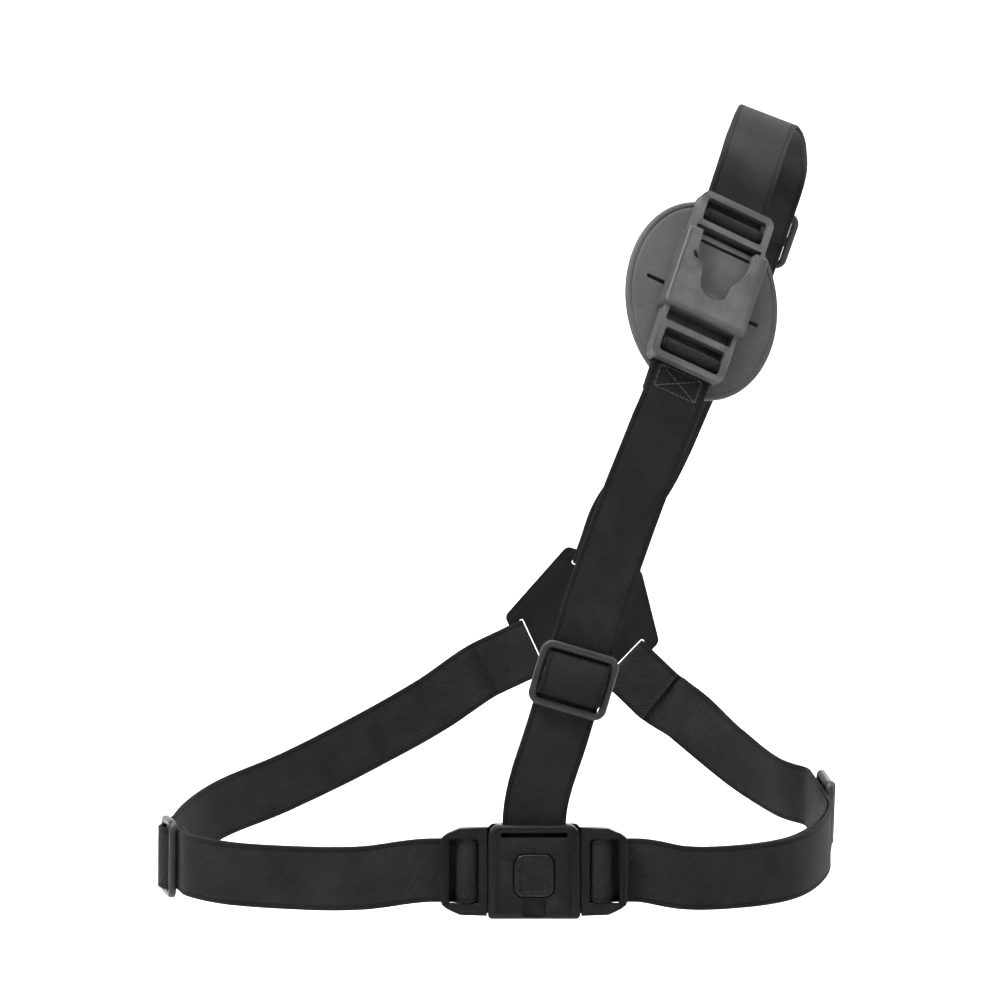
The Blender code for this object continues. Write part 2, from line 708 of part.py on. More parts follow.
def routes():
    """The four straps' routes, each from its sewn end to the bar that it doubles back round."""
    top_bar = BUCKLE_CENTRE + Vector((0.0, -FRONT_STRAP_LIFT, TOP_BAR_Y))
    return {
        "shoulder": Route(
            [
                *out_of_plate("shoulder"),
                ((64.0, 102.5, 3.0), (0.05, 1.0, 0.10)),
                ((84.5, 94.5, 48.0), (0.10, 0.97, 0.22)),
                *at_slider("shoulder"),
                ((116.0, 30.0, 141.0), (0.30, 0.48, 0.82)),
                ((111.0, 0.0, 150.0), (0.37, 0.02, 0.93)),
                ((104.0, -38.0, 139.0), (0.38, -0.62, 0.70)),
                *straight(DOCK_CENTRE, DOCK_DOWN, DOCK_NORMAL, 46.0, -20.0),
            ]
        ),
        "front": Route(
            [
                *straight(DOCK_CENTRE, DOCK_DOWN, DOCK_NORMAL, -20.0, 48.0),
                ((49.3, -107.5, -12.4), (0.15, -0.98, 0.03)),
                *at_slider("front"),
                *straight(top_bar, (0.0, 0.0, -1.0), (0.0, -1.0, 0.0), 5.5, 8.0),
            ]
        ),
        "left_waist": Route(
            [
                *out_of_plate("left_waist"),
                ((80.0, 97.0, -102.0), (0.35, 0.93, 0.05)),
                ((98.5, 82.0, -118.0), (0.62, 0.78, 0.05)),
                ((118.0, 56.0, -131.0), (0.87, 0.50, 0.05)),
                *at_slider("left_waist"),
                ((130.0, -33.0, -150.0), (0.97, -0.22, 0.0)),
                ((117.0, -60.0, -155.5), (0.84, -0.54, 0.0)),
                ((95.0, -79.5, -157.5), (0.58, -0.81, 0.0)),
                ((72.0, -90.5, -157.0), (0.34, -0.94, 0.0)),
                *into_latch(1),
            ]
        ),
        "right_waist": Route(
            [
                *out_of_plate("right_waist"),
                ((-30.0, 102.0, -98.0), (-0.18, 0.98, 0.05)),
                ((-61.0, 91.0, -115.0), (-0.38, 0.92, 0.05)),
                ((-93.0, 71.5, -130.0), (-0.64, 0.77, 0.03)),
                ((-120.0, 41.0, -140.0), (-0.88, 0.47, 0.0)),
                ((-133.0, 11.0, -148.0), (-0.99, 0.14, 0.0)),
                *at_slider("right_waist"),
                ((-113.0, -69.5, -156.5), (-0.78, -0.62, 0.0)),
                ((-88.0, -83.0, -157.5), (-0.48, -0.88, 0.0)),
                ((-56.0, -93.5, -157.0), (-0.2, -0.98, 0.0)),
                *into_latch(-1),
            ]
        ),
    }


def build_strap(name, route, sewn, anchor):
    """A strap with its adjuster. sewn and anchor are each a bar's middle point and kind."""
    slider = route.nearest(SLIDER_PLACES[name][0])
    layer = strap_layer(route.nearest(sewn[0]), sewn[1], slider, route.nearest(anchor[0]), anchor[1])
    webbing(f"{name}_strap", route, layer, SHADES["webbing"])
    frame = slider_frame(f"{name}_slider", route.frame(slider))
    web = slider_web(f"{name}_slider_web", route, slider)
    bpy.context.view_layer.update()
    web.parent = frame
    web.matrix_parent_inverse = frame.matrix_world.inverted()


def build():
    made = routes()
    dock = frame_of(DOCK_CENTRE, -DOCK_DOWN.normalized(), DOCK_NORMAL.normalized())
    buckle = frame_of(BUCKLE_CENTRE, Vector((0.0, 0.0, 1.0)), Vector((0.0, -1.0, 0.0)))
    plate = frame_of(PLATE_CENTRE, Vector((0.0, 0.0, 1.0)), Vector((0.0, 1.0, 0.0)))
    plate_bars = {}
    for side, angle in PLATE_DIRECTIONS.items():
        turn = Matrix.Rotation(math.radians(angle), 4, "Z")
        plate_bars[side] = plate @ turn @ Vector((PLATE_BAR, 0.0, 0.0))
    upper_bar = dock @ Vector((0.0, UPPER_BAR, 0.0))
    lower_bar = dock @ Vector((0.0, LOWER_BAR, 0.0))
    top_bar = buckle @ Vector((0.0, TOP_BAR_Y, FRONT_STRAP_LIFT))
    build_strap("shoulder", made["shoulder"], (plate_bars["shoulder"], "plate"), (upper_bar, "dock"))
    build_strap("front", made["front"], (lower_bar, "dock"), (top_bar, "buckle"))
    for side, name in ((1, "left"), (-1, "right")):
        bar = buckle @ Vector((side * LATCH_BAR_X, 0.0, 0.0))
        strap = f"{name}_waist"
        build_strap(strap, made[strap], (plate_bars[strap], "plate"), (bar, "latch"))
        latch(f"{name}_latch", side, buckle)
    dock_body(dock)
    dock_back_cover(dock)
    dock_catch(dock)
    dock_pad(dock)
    pad_keeper(dock)
    front_cover(buckle)
    back_cover(buckle)
    push_button(buckle)
    button_spring(buckle)
    back_plate(plate)
    plate_panel(plate)


for old in list(bpy.data.objects):
    bpy.data.objects.remove(old, do_unlink=True)
SHADES = {
    "webbing": material("black_webbing", (0.018, 0.018, 0.019), 0.82),
    "nylon": material("black_nylon", (0.020, 0.020, 0.022), 0.42),
    "button": material("button_nylon", (0.024, 0.024, 0.026), 0.38),
    "dock": material("dock_plastic", (0.075, 0.077, 0.080), 0.55),
    "pad": material("pad_sheet", (0.085, 0.087, 0.090), 0.70),
    "plate": material("plate_nylon", (0.016, 0.016, 0.018), 0.50),
    "steel": material("spring_steel", (0.55, 0.55, 0.56), 0.30, 1.0),
    "guide": material("guide", (0.8, 0.2, 0.1), 0.5),
}

build()
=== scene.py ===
"""Looks of the one-shoulder chest harness: woven straps, stitching, moulded hardware and the dock's pad.

Lengths are millimetres in the wearer's frame that the CAD uses: +X to the wearer's left, -Y to the front,
+Z up. at() turns them into metres from the model's origin, under the strap on top of the shoulder.
"""

import math

import bmesh
import bpy
from mathutils import Matrix, Vector, noise


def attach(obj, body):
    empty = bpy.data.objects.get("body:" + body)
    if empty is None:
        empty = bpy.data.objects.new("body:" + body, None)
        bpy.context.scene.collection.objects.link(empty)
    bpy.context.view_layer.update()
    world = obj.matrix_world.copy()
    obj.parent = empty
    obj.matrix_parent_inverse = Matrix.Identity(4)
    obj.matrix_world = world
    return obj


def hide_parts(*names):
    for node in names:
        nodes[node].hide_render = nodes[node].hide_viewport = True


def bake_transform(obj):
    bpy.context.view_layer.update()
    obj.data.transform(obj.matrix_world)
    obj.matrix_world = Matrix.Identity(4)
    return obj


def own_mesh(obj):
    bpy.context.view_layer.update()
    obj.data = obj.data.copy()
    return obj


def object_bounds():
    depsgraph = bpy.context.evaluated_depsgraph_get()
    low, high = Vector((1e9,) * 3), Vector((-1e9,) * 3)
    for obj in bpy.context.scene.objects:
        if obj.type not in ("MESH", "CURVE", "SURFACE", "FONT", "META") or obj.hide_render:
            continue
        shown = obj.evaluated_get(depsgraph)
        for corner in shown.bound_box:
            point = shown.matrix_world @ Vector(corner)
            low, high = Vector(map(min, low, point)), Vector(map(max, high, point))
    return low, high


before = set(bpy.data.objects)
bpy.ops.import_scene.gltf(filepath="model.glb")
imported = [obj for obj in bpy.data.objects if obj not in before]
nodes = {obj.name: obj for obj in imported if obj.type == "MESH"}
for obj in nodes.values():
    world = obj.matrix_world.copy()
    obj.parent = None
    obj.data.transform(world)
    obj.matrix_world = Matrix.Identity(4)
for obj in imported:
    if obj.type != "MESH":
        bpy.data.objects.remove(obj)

cad_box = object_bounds()

MM = 0.001
SHOULDER_REST = Vector((111.0, 0.0, 150.0))
ROOT = "harness"

# Webbing
WEB_WIDTH = 25.4
WEB_THICK = 1.5
INNER = WEB_THICK / 2  # height of a strap's middle line above the body
OUTER = 2.65  # and of the outer layer's where it is doubled
GROOVE = 10.9  # from a strap's middle to the groove beside its selvedge
RING, ARCH_RING = 1.1, 0.8  # spacing of the rings that a strap and an adjuster's arch are made of
SEWN_TAIL = 19.0
SOFT_EDGE = 0.2  # bevel on small mouldings

# Hardware that the webbing passes. X is across the strap, Y along it and Z outward from the body
SLOT_HALF = 13.3
BAR_REACH = SLOT_HALF + 0.6  # half a strap bar's length, its ends sunk in the frame
SLIDER_SIZE = (32.0, 26.5)
SLIDER_BAR = 3.0
SLIDER_SLOT_HALF = 12.9
SLIDER_LOW, SLIDER_HIGH = 3.9, 7.1
SLIDER_FLAT = 22.0  # straight run of the strap, each way from an adjuster's middle
ARCH_SHIFT, ARCH_HIGH = 0.4, 4.75
ARCH_RADII = (8.3, 4.4)
DOCK_CENTRE = Vector((82.0, -85.0, 77.5))
DOCK_DOWN = Vector((-0.3034, -0.3628, -0.8810)).normalized()
DOCK_NORMAL = Vector((0.351, -0.902, 0.251)).normalized()
DOCK_HALF = 37.5
DOCK_HALF_WIDTH = 16.3
BLOCK_HALF_WIDTH = 18.0
BLOCK_TOP, BLOCK_BOTTOM = 19.7, -15.8
BLOCK_HIGH = 10.6
DOCK_BACK, DOCK_FACE = 0.4, 8.0
UPPER_WINDOW = (24.8, 34.7)
LOWER_WINDOW = (-34.7, -24.4)
UPPER_BAR, LOWER_BAR = 28.4, -30.6
WEB_BAR_HIGH, WEB_BAR_RADIUS = 5.0, 1.3
U_RADIUS = 6.9
U_BOTTOM = -6.8
RECESS_FLOOR = 6.4
POCKET_SIZE = (22.0, 26.0)
POCKET_Y = 3.0
POCKET_GAP = 0.3
CATCH_HINGE = (16.6, 4.6)
CATCH_HALF = 12.2
BUCKLE_CENTRE = Vector((13.0, -96.0, -153.6))
BODY_HALF = (18.4, 18.7)
BACK_LOW, BACK_HIGH = 0.5, 2.5
FRONT_LOW, FRONT_HIGH = 2.8, 12.6
BUTTON_SIZE = (16.0, 17.0)
BUTTON_Y = -1.4
LATCH_BAR_X, LATCH_BAR_HIGH, LATCH_BAR_RADIUS = 26.3, 6.4, 2.6
LATCH_END = 37.4
LATCH_HALF = 17.6
LATCH_SLOT_HALF = 12.9
FRONT_STRAP_LIFT = 3.0
TOP_BAR_Y = 12.2
PLATE_CENTRE = Vector((35.8, 106.0, -62.6))
PLATE_APOTHEM = 29.9
PLATE_EDGE_HALF = 17.2
PLATE_LOW, PLATE_HIGH = 1.9, 4.9
PLATE_BAR = 27.6
PLATE_BAR_HALF = 2.3
PLATE_SLOT_HALF = 13.0
PLATE_SLOT_WIDE = 2.1
PLATE_DIRECTIONS = {"shoulder": 108.0, "left_waist": 224.0, "right_waist": 335.0}
PAD_SIZE = (66.0, 83.0)
PAD_THICK = 2.4
PAD_GAP = 0.4
PAD_TURN = 19.0
PAD_SHIFT = Matrix.Translation((0.0, -3.9, 0.0))
PAD_SLIT_HALF = 25.4
PAD_SLIT_WIDE = 1.8


def at(point):
    return (Vector(point) - SHOULDER_REST) * MM


def frame_of(centre, along, outward):
    across = along.cross(outward)
    turned = Matrix((across, along, outward)).transposed().to_4x4()
    return Matrix.Translation(centre) @ turned


DOCK = frame_of(DOCK_CENTRE, -DOCK_DOWN, DOCK_NORMAL)
BUCKLE = frame_of(BUCKLE_CENTRE, Vector((0.0, 0.0, 1.0)), Vector((0.0, -1.0, 0.0)))
PLATE = frame_of(PLATE_CENTRE, Vector((0.0, 0.0, 1.0)), Vector((0.0, 1.0, 0.0)))


# ---------------- materials


class Graph:
    """A material's node tree, with short calls for the nodes that it needs."""

    def __init__(self, name):
        self.material = bpy.data.materials.new(name)
        self.material.use_nodes = True
        self.tree = self.material.node_tree
        self.shader = self.tree.nodes["Principled BSDF"]

    def node(self, kind, **settings):
        made = self.tree.nodes.new(kind)
        for key, value in settings.items():
            setattr(made, key, value)
        return made

    def put(self, value, socket):
        if isinstance(value, bpy.types.NodeSocket):
            self.tree.links.new(value, socket)
        else:
            socket.default_value = value

    def feed(self, made, **given):
        for name, value in given.items():
            self.put(value, made.inputs[name])

    def math(self, operation, *values, clamp=False):
        made = self.node("ShaderNodeMath", operation=operation, use_clamp=clamp)
        for value, socket in zip(values, made.inputs):
            self.put(value, socket)
        return made.outputs[0]

    def ramp(self, value, low, high, to_low=0.0, to_high=1.0):
        made = self.node("ShaderNodeMapRange", clamp=True)
        for given, socket in zip((value, low, high, to_low, to_high), made.inputs):
            self.put(given, socket)
        return made.outputs[0]

    def mix(self, share, first, second):
        made = self.node("ShaderNodeMix", data_type="RGBA")
        self.put(share, made.inputs["Factor"])
        self.put((*first, 1.0) if isinstance(first, tuple) else first, made.inputs["A"])
        self.put((*second, 1.0) if isinstance(second, tuple) else second, made.inputs["B"])
        return made.outputs["Result"]

    def position(self, scale=1 / MM):
        """The point in object space, in millimetres, so that a pattern keeps its size on every piece."""
        place = self.node("ShaderNodeTexCoord").outputs["Object"]
        made = self.node("ShaderNodeVectorMath", operation="SCALE")
        self.put(place, made.inputs[0])
        self.put(scale, made.inputs["Scale"])
        return made.outputs[0]

    def noise(self, vector, scale, detail=3.0, rough=0.5):
        made = self.node("ShaderNodeTexNoise")
        self.feed(made, Vector=vector, Scale=scale, Detail=detail, Roughness=rough)
        return made.outputs["Fac"]

    def bump(self, height, distance, strength=1.0, normal=None):
        made = self.node("ShaderNodeBump")
        self.feed(made, Height=height, Distance=distance, Strength=strength)
        if normal is not None:
            self.feed(made, Normal=normal)
        return made.outputs[0]

    def shade(self, name, value):
        """Gives the shader's input of that name a number, a colour or another node's output."""
        self.put(value, self.shader.inputs[name])


def webbing_material():
    """Nylon webbing: a fine diagonal twill between two close-woven selvedges, a little uneven and dusty."""
    g = Graph("webbing_weave")
    uv = g.node("ShaderNodeUVMap", uv_map="weave")
    split = g.node("ShaderNodeSeparateXYZ")
    g.put(uv.outputs[0], split.inputs[0])
    across, along = split.outputs[0], split.outputs[1]
    rib_repeat = 1.6261  # of the diagonal ribs, measured along the strap
    yarn_pitch = 0.62
    ribs = g.math("SINE", g.math("MULTIPLY", g.math("ADD", across, along), math.tau / rib_repeat))
    picks = g.math("SINE", g.math("MULTIPLY", along, math.tau / yarn_pitch))
    ends = g.math("SINE", g.math("MULTIPLY", across, math.tau / yarn_pitch))
    yarns = g.math("MULTIPLY", picks, ends)
    twill = g.math("ADD", g.math("MULTIPLY", ribs, 0.34), g.math("MULTIPLY", yarns, 0.16))
    edge = g.math("ABSOLUTE", across)
    selvedge = g.ramp(edge, WEB_WIDTH / 2 - 1.9, WEB_WIDTH / 2 - 1.3)
    groove = g.math("MULTIPLY", g.ramp(edge, GROOVE - 0.5, GROOVE), g.ramp(edge, GROOVE + 0.5, GROOVE))
    body = g.math("ADD", twill, 0.5)
    cord = g.math("ADD", g.math("MULTIPLY", picks, 0.30), 0.55)
    height = g.node("ShaderNodeMix", data_type="FLOAT")
    g.feed(height, Factor=selvedge, A=body, B=cord)
    woven = g.math("SUBTRACT", height.outputs["Result"], g.math("MULTIPLY", groove, 0.5))

    place = g.position()
    cloud = g.noise(place, 0.045, 4.0, 0.6)
    fuzz = g.noise(place, 1.6, 2.0, 0.7)
    base = g.mix(g.ramp(woven, 0.1, 0.95), (0.0055, 0.0055, 0.006), (0.016, 0.016, 0.017))
    dusty = g.mix(g.ramp(cloud, 0.38, 0.72, 0.0, 0.30), base, (0.038, 0.038, 0.039))
    faded = g.mix(g.math("MULTIPLY", g.ramp(fuzz, 0.45, 0.8), 0.18), dusty, (0.050, 0.050, 0.051))
    # Darker selvedges are the close weave's own tone; the darkening in the grooves is painted shade.
    selvedge_tone_and_groove_shade = g.math("MULTIPLY", g.math("ADD", selvedge, groove, clamp=True), 0.6)
    g.shade("Base Color", g.mix(selvedge_tone_and_groove_shade, faded, (0.0055, 0.0055, 0.0055)))
    g.shade("Roughness", g.ramp(woven, 0.0, 1.0, 0.86, 0.64))
    g.shade("Sheen Weight", 0.06)
    g.shade("Sheen Roughness", 0.35)
    g.shade("Sheen Tint", (0.6, 0.6, 0.62, 1.0))
    g.shade("Specular IOR Level", 0.15)
    fine = g.bump(fuzz, 0.06 * MM, 0.5)
    g.shade("Normal", g.bump(woven, 0.22 * MM, 0.85, fine))
    return g.material


def moulded_material(name, colour, rough, shine=0.5, wear_and_highlight=0.35):
    """Moulded plastic: a fine spark-eroded grain, uneven gloss, and lighter edges that are partly rubbed
    wear and partly a painted highlight.
    """
    g = Graph(name)
    place = g.position()
    fine = g.noise(place, 3.2, 3.0, 0.6)
    broad = g.noise(place, 0.09, 4.0, 0.55)
    edges = g.node("ShaderNodeNewGeometry").outputs["Pointiness"]
    # Convex edges get a painted highlight along with the wear: paler in colour and a little glossier.
    worn_and_highlit_edges = g.math("MULTIPLY", g.ramp(edges, 0.515, 0.60), g.ramp(broad, 0.3, 0.7, 0.35, 1.0))
    lighter = tuple(min(1.0, c * 2.6 + 0.012) for c in colour)
    darker = tuple(c * 0.72 for c in colour)
    tone = g.mix(g.ramp(broad, 0.3, 0.7), darker, colour)
    flecked = g.mix(g.ramp(fine, 0.55, 0.8, 0.0, 0.3), tone, lighter)
    uneven = g.math("ADD", g.ramp(broad, 0.3, 0.7, -0.10, 0.10), rough)
    g.shade("Base Color", g.mix(g.math("MULTIPLY", worn_and_highlit_edges, wear_and_highlight), flecked, lighter))
    g.shade("Roughness", g.math("SUBTRACT", uneven, g.math("MULTIPLY", worn_and_highlit_edges, 0.08)))
    g.shade("Specular IOR Level", shine)
    g.shade("Normal", g.bump(fine, 0.035 * MM, 0.8))
    return g.material


def pad_material():
    """Matte rubbery sheet with a pebbled grain."""
    g = Graph("pad_grain")
    place = g.position()
    cells = g.node("ShaderNodeTexVoronoi", feature="SMOOTH_F1")
    g.feed(cells, Vector=place, Scale=1.15)
    pebbles = cells.outputs["Distance"]
    broad = g.noise(place, 0.05, 4.0, 0.6)
    fine = g.noise(place, 2.2, 2.0, 0.6)
    tone = g.mix(g.ramp(broad, 0.3, 0.7), (0.070, 0.071, 0.073), (0.105, 0.106, 0.109))
    shaded = g.mix(g.ramp(pebbles, 0.3, 0.75, 0.0, 0.30), tone, (0.045, 0.045, 0.047))
    g.shade("Base Color", g.mix(g.ramp(fine, 0.5, 0.8, 0.0, 0.25), shaded, (0.15, 0.15, 0.152)))
    g.shade("Roughness", g.ramp(broad, 0.3, 0.7, 0.62, 0.80))
    g.shade("Normal", g.bump(pebbles, 0.09 * MM, 0.6, g.bump(fine, 0.04 * MM, 0.5)))
    return g.material


def thread_material():
    """Bonded polyester sewing thread, twisted."""
    g = Graph("sewing_thread")
    twist = g.node("ShaderNodeTexWave", wave_type="BANDS", bands_direction="DIAGONAL")
    g.feed(twist, Vector=g.position(), Scale=1.1, Distortion=0.4)
    g.shade("Base Color", g.mix(twist.outputs["Fac"], (0.016, 0.016, 0.017), (0.065, 0.065, 0.067)))
    g.shade("Roughness", 0.55)
    g.shade("Sheen Weight", 0.2)
    g.shade("Normal", g.bump(twist.outputs["Fac"], 0.06 * MM, 0.8))
    return g.material


def steel_material():
    """Drawn spring wire, lightly brushed."""
    g = Graph("spring_wire")
    marks = g.noise(g.position(), 4.0, 3.0, 0.7)
    g.shade("Base Color", g.mix(marks, (0.42, 0.42, 0.43), (0.68, 0.68, 0.70)))
    g.shade("Metallic", 1.0)
    g.shade("Roughness", g.ramp(marks, 0.3, 0.7, 0.22, 0.40))
    g.shade("Normal", g.bump(marks, 0.02 * MM, 0.5))
    return g.material


def stage_material():
    """Matte pale backdrop paper."""
    g = Graph("pale_backdrop")
    fibre = g.noise(g.position(1.0), 60.0, 4.0, 0.6)
    g.shade("Base Color", g.mix(fibre, (0.80, 0.80, 0.80), (0.84, 0.84, 0.84)))
    g.shade("Roughness", 0.95)
    return g.material


WEBBING = webbing_material()
THREAD = thread_material()
NYLON = moulded_material("black_nylon", (0.0065, 0.0065, 0.007), 0.36, 0.20)
ADJUSTER_NYLON = moulded_material("adjuster_nylon", (0.024, 0.024, 0.025), 0.42, 0.42)
BUTTON = moulded_material("button_nylon", (0.008, 0.008, 0.0085), 0.30, 0.26)
DOCK_PLASTIC = moulded_material("dock_plastic", (0.068, 0.069, 0.072), 0.52, wear_and_highlight=0.45)
PLATE_NYLON = moulded_material("plate_nylon", (0.0060, 0.0060, 0.0065), 0.38, 0.22)
PAD = pad_material()
STEEL = steel_material()


# ---------------- routes


def straight(centre, direction, normal, before, after):
    """Two stations with a straight run between them, for hardware to sit on."""
    centre, direction = Vector(centre), Vector(direction).normalized()
    ends = (centre - direction * before, centre + direction * after)
    return [(end, normal, direction) for end in ends]


class Route:
    """A smooth line through stations, each a point, an outward normal and, where it matters, a direction."""

    SAMPLES = 24

    def __init__(self, *stations):
        points = [Vector(station[0]) for station in stations]
        normals = [Vector(station[1]).normalized() for station in stations]
        slopes = []
        for i, station in enumerate(stations):
            if len(station) > 2:
                slopes.append(Vector(station[2]).normalized())
                continue
            back = points[i] - points[i - 1]
            ahead = points[i + 1] - points[i]
            slope = back / back.length**2 + ahead / ahead.length**2
            slopes.append(slope.normalized())
        self.points = [points[0]]
        self.normals = [normals[0]]
        for i in range(len(points) - 1):
            reach = (points[i + 1] - points[i]).length
            for k in range(1, self.SAMPLES + 1):
                t = k / self.SAMPLES
                a = 2 * t**3 - 3 * t**2 + 1
                b = t**3 - 2 * t**2 + t
                c = 3 * t**2 - 2 * t**3
                d = t**3 - t**2
                leaving = points[i] * a + slopes[i] * (b * reach)
                self.points.append(leaving + points[i + 1] * c + slopes[i + 1] * (d * reach))
                self.normals.append(normals[i].lerp(normals[i + 1], c).normalized())
        self.ends = slopes[0], slopes[-1]
        self.lengths = [0.0]
        for before, after in zip(self.points, self.points[1:]):
            self.lengths.append(self.lengths[-1] + (after - before).length)
        self.length = self.lengths[-1]

    def nearest(self, point):
        """The distance along the route of its nearest place to a point."""
        gaps = [(Vector(point) - sample).length for sample in self.points]
        i = gaps.index(min(gaps))
        return self.lengths[i] + (Vector(point) - self.points[i]).dot(self.tangent(i))

    def tangent(self, i):
        if i == 0:
            return self.ends[0]
        if i == len(self.points) - 1:
            return self.ends[1]
        return (self.points[i + 1] - self.points[i - 1]).normalized()

    def frame(self, distance):
        """The frame at a distance: X across the strap, Y along it, Z outward. It runs on past the ends."""
        inside = min(max(distance, 0.0), self.length)
        i = 0
        while i < len(self.lengths) - 2 and self.lengths[i + 1] < inside:
            i += 1
        t = (inside - self.lengths[i]) / (self.lengths[i + 1] - self.lengths[i])
        along = self.tangent(i).lerp(self.tangent(i + 1), t).normalized()
        centre = self.points[i].lerp(self.points[i + 1], t) + along * (distance - inside)
        outward = self.normals[i].lerp(self.normals[i + 1], t)
        outward = (outward - along * outward.dot(along)).normalized()
        return frame_of(centre, along, outward)


def out_of_plate(side):
    """A route's first two stations, straight out of the plate's slot on that side."""
    angle = math.radians(PLATE_DIRECTIONS[side])
    outward = Vector((-math.cos(angle), 0.0, math.sin(angle)))
    return straight(PLATE_CENTRE, outward, (0.0, 1.0, 0.0), -20.0, 44.0)


SLIDER_PLACES = {
    "shoulder": ((109.5, 71.0, 105.0), (0.28, -0.42, 0.86), (0.16, 0.88, 0.42)),
    "front": ((28.3, -105.5, -77.0), (-0.285, 0.02, -0.96), (0.06, -0.995, 0.0)),
    "left_waist": ((130.5, 20.0, -139.0), (0.12, -0.97, -0.20), (0.99, 0.12, 0.0)),
    "right_waist": ((-131.5, -30.0, -153.5), (0.20, -0.98, -0.05), (-0.98, -0.20, 0.0)),
}

# Two places on each waist strap: the real strap stays put before the first and moves with its latch beyond
# the second. Only the names are used here, to bake these straps in place instead of putting them on a body
WAIST_BENDS = {
    "left_waist": ((130.0, -10.0, -157.0), (63.0, -98.0, -157.0)),
    "right_waist": ((-127.0, -52.0, -157.0), (-64.0, -122.0, -157.0)),
}


def at_slider(name):
    return straight(*SLIDER_PLACES[name], SLIDER_FLAT, SLIDER_FLAT)


def into_latch(side):
    """A waist route's last two stations, straight in under a latch."""
    bar = BUCKLE_CENTRE + Vector((side * LATCH_BAR_X, 0.0, 0.0))
    return straight(bar, (-side, 0.0, 0.0), (0.0, -1.0, 0.0), 14.0, 6.0)


def routes():
    """The four straps' routes, each from its sewn end to the bar that it doubles back round."""
    top_bar = BUCKLE_CENTRE + Vector((0.0, -FRONT_STRAP_LIFT, TOP_BAR_Y))
    return {
        "shoulder": Route(
            *out_of_plate("shoulder"),
            ((64.0, 102.5, 3.0), (0.05, 1.0, 0.10)),
            ((84.5, 94.5, 48.0), (0.10, 0.97, 0.22)),
            *at_slider("shoulder"),
            ((116.0, 30.0, 141.0), (0.30, 0.48, 0.82)),
            ((111.0, 0.0, 150.0), (0.37, 0.02, 0.93)),
            ((104.0, -38.0, 139.0), (0.38, -0.62, 0.70)),
            *straight(DOCK_CENTRE, DOCK_DOWN, DOCK_NORMAL, 46.0, -20.0),
        ),
        "front": Route(
            *straight(DOCK_CENTRE, DOCK_DOWN, DOCK_NORMAL, -20.0, 48.0),
            ((49.3, -107.5, -12.4), (0.15, -0.98, 0.03)),
            *at_slider("front"),
            *straight(top_bar, (0.0, 0.0, -1.0), (0.0, -1.0, 0.0), 5.5, 8.0),
        ),
        "left_waist": Route(
            *out_of_plate("left_waist"),
            ((80.0, 97.0, -102.0), (0.35, 0.93, 0.05)),
            ((98.5, 82.0, -118.0), (0.62, 0.78, 0.05)),
            ((118.0, 56.0, -131.0), (0.87, 0.50, 0.05)),
            *at_slider("left_waist"),
            ((130.0, -33.0, -150.0), (0.97, -0.22, 0.0)),
            ((117.0, -60.0, -155.5), (0.84, -0.54, 0.0)),
            ((95.0, -79.5, -157.5), (0.58, -0.81, 0.0)),
            ((72.0, -90.5, -157.0), (0.34, -0.94, 0.0)),
            *into_latch(1),
        ),
        "right_waist": Route(
            *out_of_plate("right_waist"),
            ((-30.0, 102.0, -98.0), (-0.18, 0.98, 0.05)),
            ((-61.0, 91.0, -115.0), (-0.38, 0.92, 0.05)),
            ((-93.0, 71.5, -130.0), (-0.64, 0.77, 0.03)),
            ((-120.0, 41.0, -140.0), (-0.88, 0.47, 0.0)),
            ((-133.0, 11.0, -148.0), (-0.99, 0.14, 0.0)),
            *at_slider("right_waist"),
            ((-113.0, -69.5, -156.5), (-0.78, -0.62, 0.0)),
            ((-88.0, -83.0, -157.5), (-0.48, -0.88, 0.0)),
            ((-56.0, -93.5, -157.0), (-0.2, -0.98, 0.0)),
            *into_latch(-1),
        ),
    }


# ---------------- straps


def wrap_of(kind):
    """How webbing goes round a bar.

    It gives the bar's height, the radii of the webbing's middle line, its squareness, how far above the
    route it leaves the bar in degrees, and the length of its slope down from there.
    """
    return {
        "plate": (3.4, (3.35, 2.6), 0.5, 30.0, 1.2),
        "dock": (WEB_BAR_HIGH, (2.4, 2.4), 1.0, 0.0, 1.2),
        "latch": (LATCH_BAR_HIGH, (3.7, 3.7), 1.0, 0.0, 1.2),
        "buckle": (2.6, (2.7, 1.85), 0.5, 30.0, 0.3),
    }[kind]


class Layer:
    """The middle line of a strap, drawn as (distance along the route, height above the body)."""

    def __init__(self, *points):
        self.points = list(points)

    def to(self, distance, height):
        self.points.append((distance, height))

    def ramp(self, distance, height, count=8):
        """An S-shaped change of height."""
        x, y = self.points[-1]
        for k in range(1, count + 1):
            t = k / count
            rise = 3 * t**2 - 2 * t**3
            self.points.append((x + (distance - x) * t, y + (height - y) * rise))

    def arc(self, centre, radii, start, end, count=28, power=1.0):
        """Part of an oval round a bar. A power below 1 squares it off."""
        for k in range(count + 1):
            angle = math.radians(start + (end - start) * k / count)
            across, up = math.cos(angle), math.sin(angle)
            across = math.copysign(abs(across) ** power, across)
            up = math.copysign(abs(up) ** power, up)
            self.points.append((centre[0] + radii[0] * across, centre[1] + radii[1] * up))

    def spaced(self, step):
        """The same line with a point every step, its corners eased."""
        found = [Vector(self.points[0])]
        for point in self.points[1:]:
            point = Vector(point)
            reach = (point - found[-1]).length
            if reach < 0.25 * step:
                continue
            start = found[-1]
            count = max(1, round(reach / step))
            found += [start.lerp(point, k / count) for k in range(1, count + 1)]
        for _ in range(3):
            eased = [(a + b * 2 + c) / 4 for a, b, c in zip(found, found[1:], found[2:])]
            found = [found[0], *eased, found[-1]]
        return found


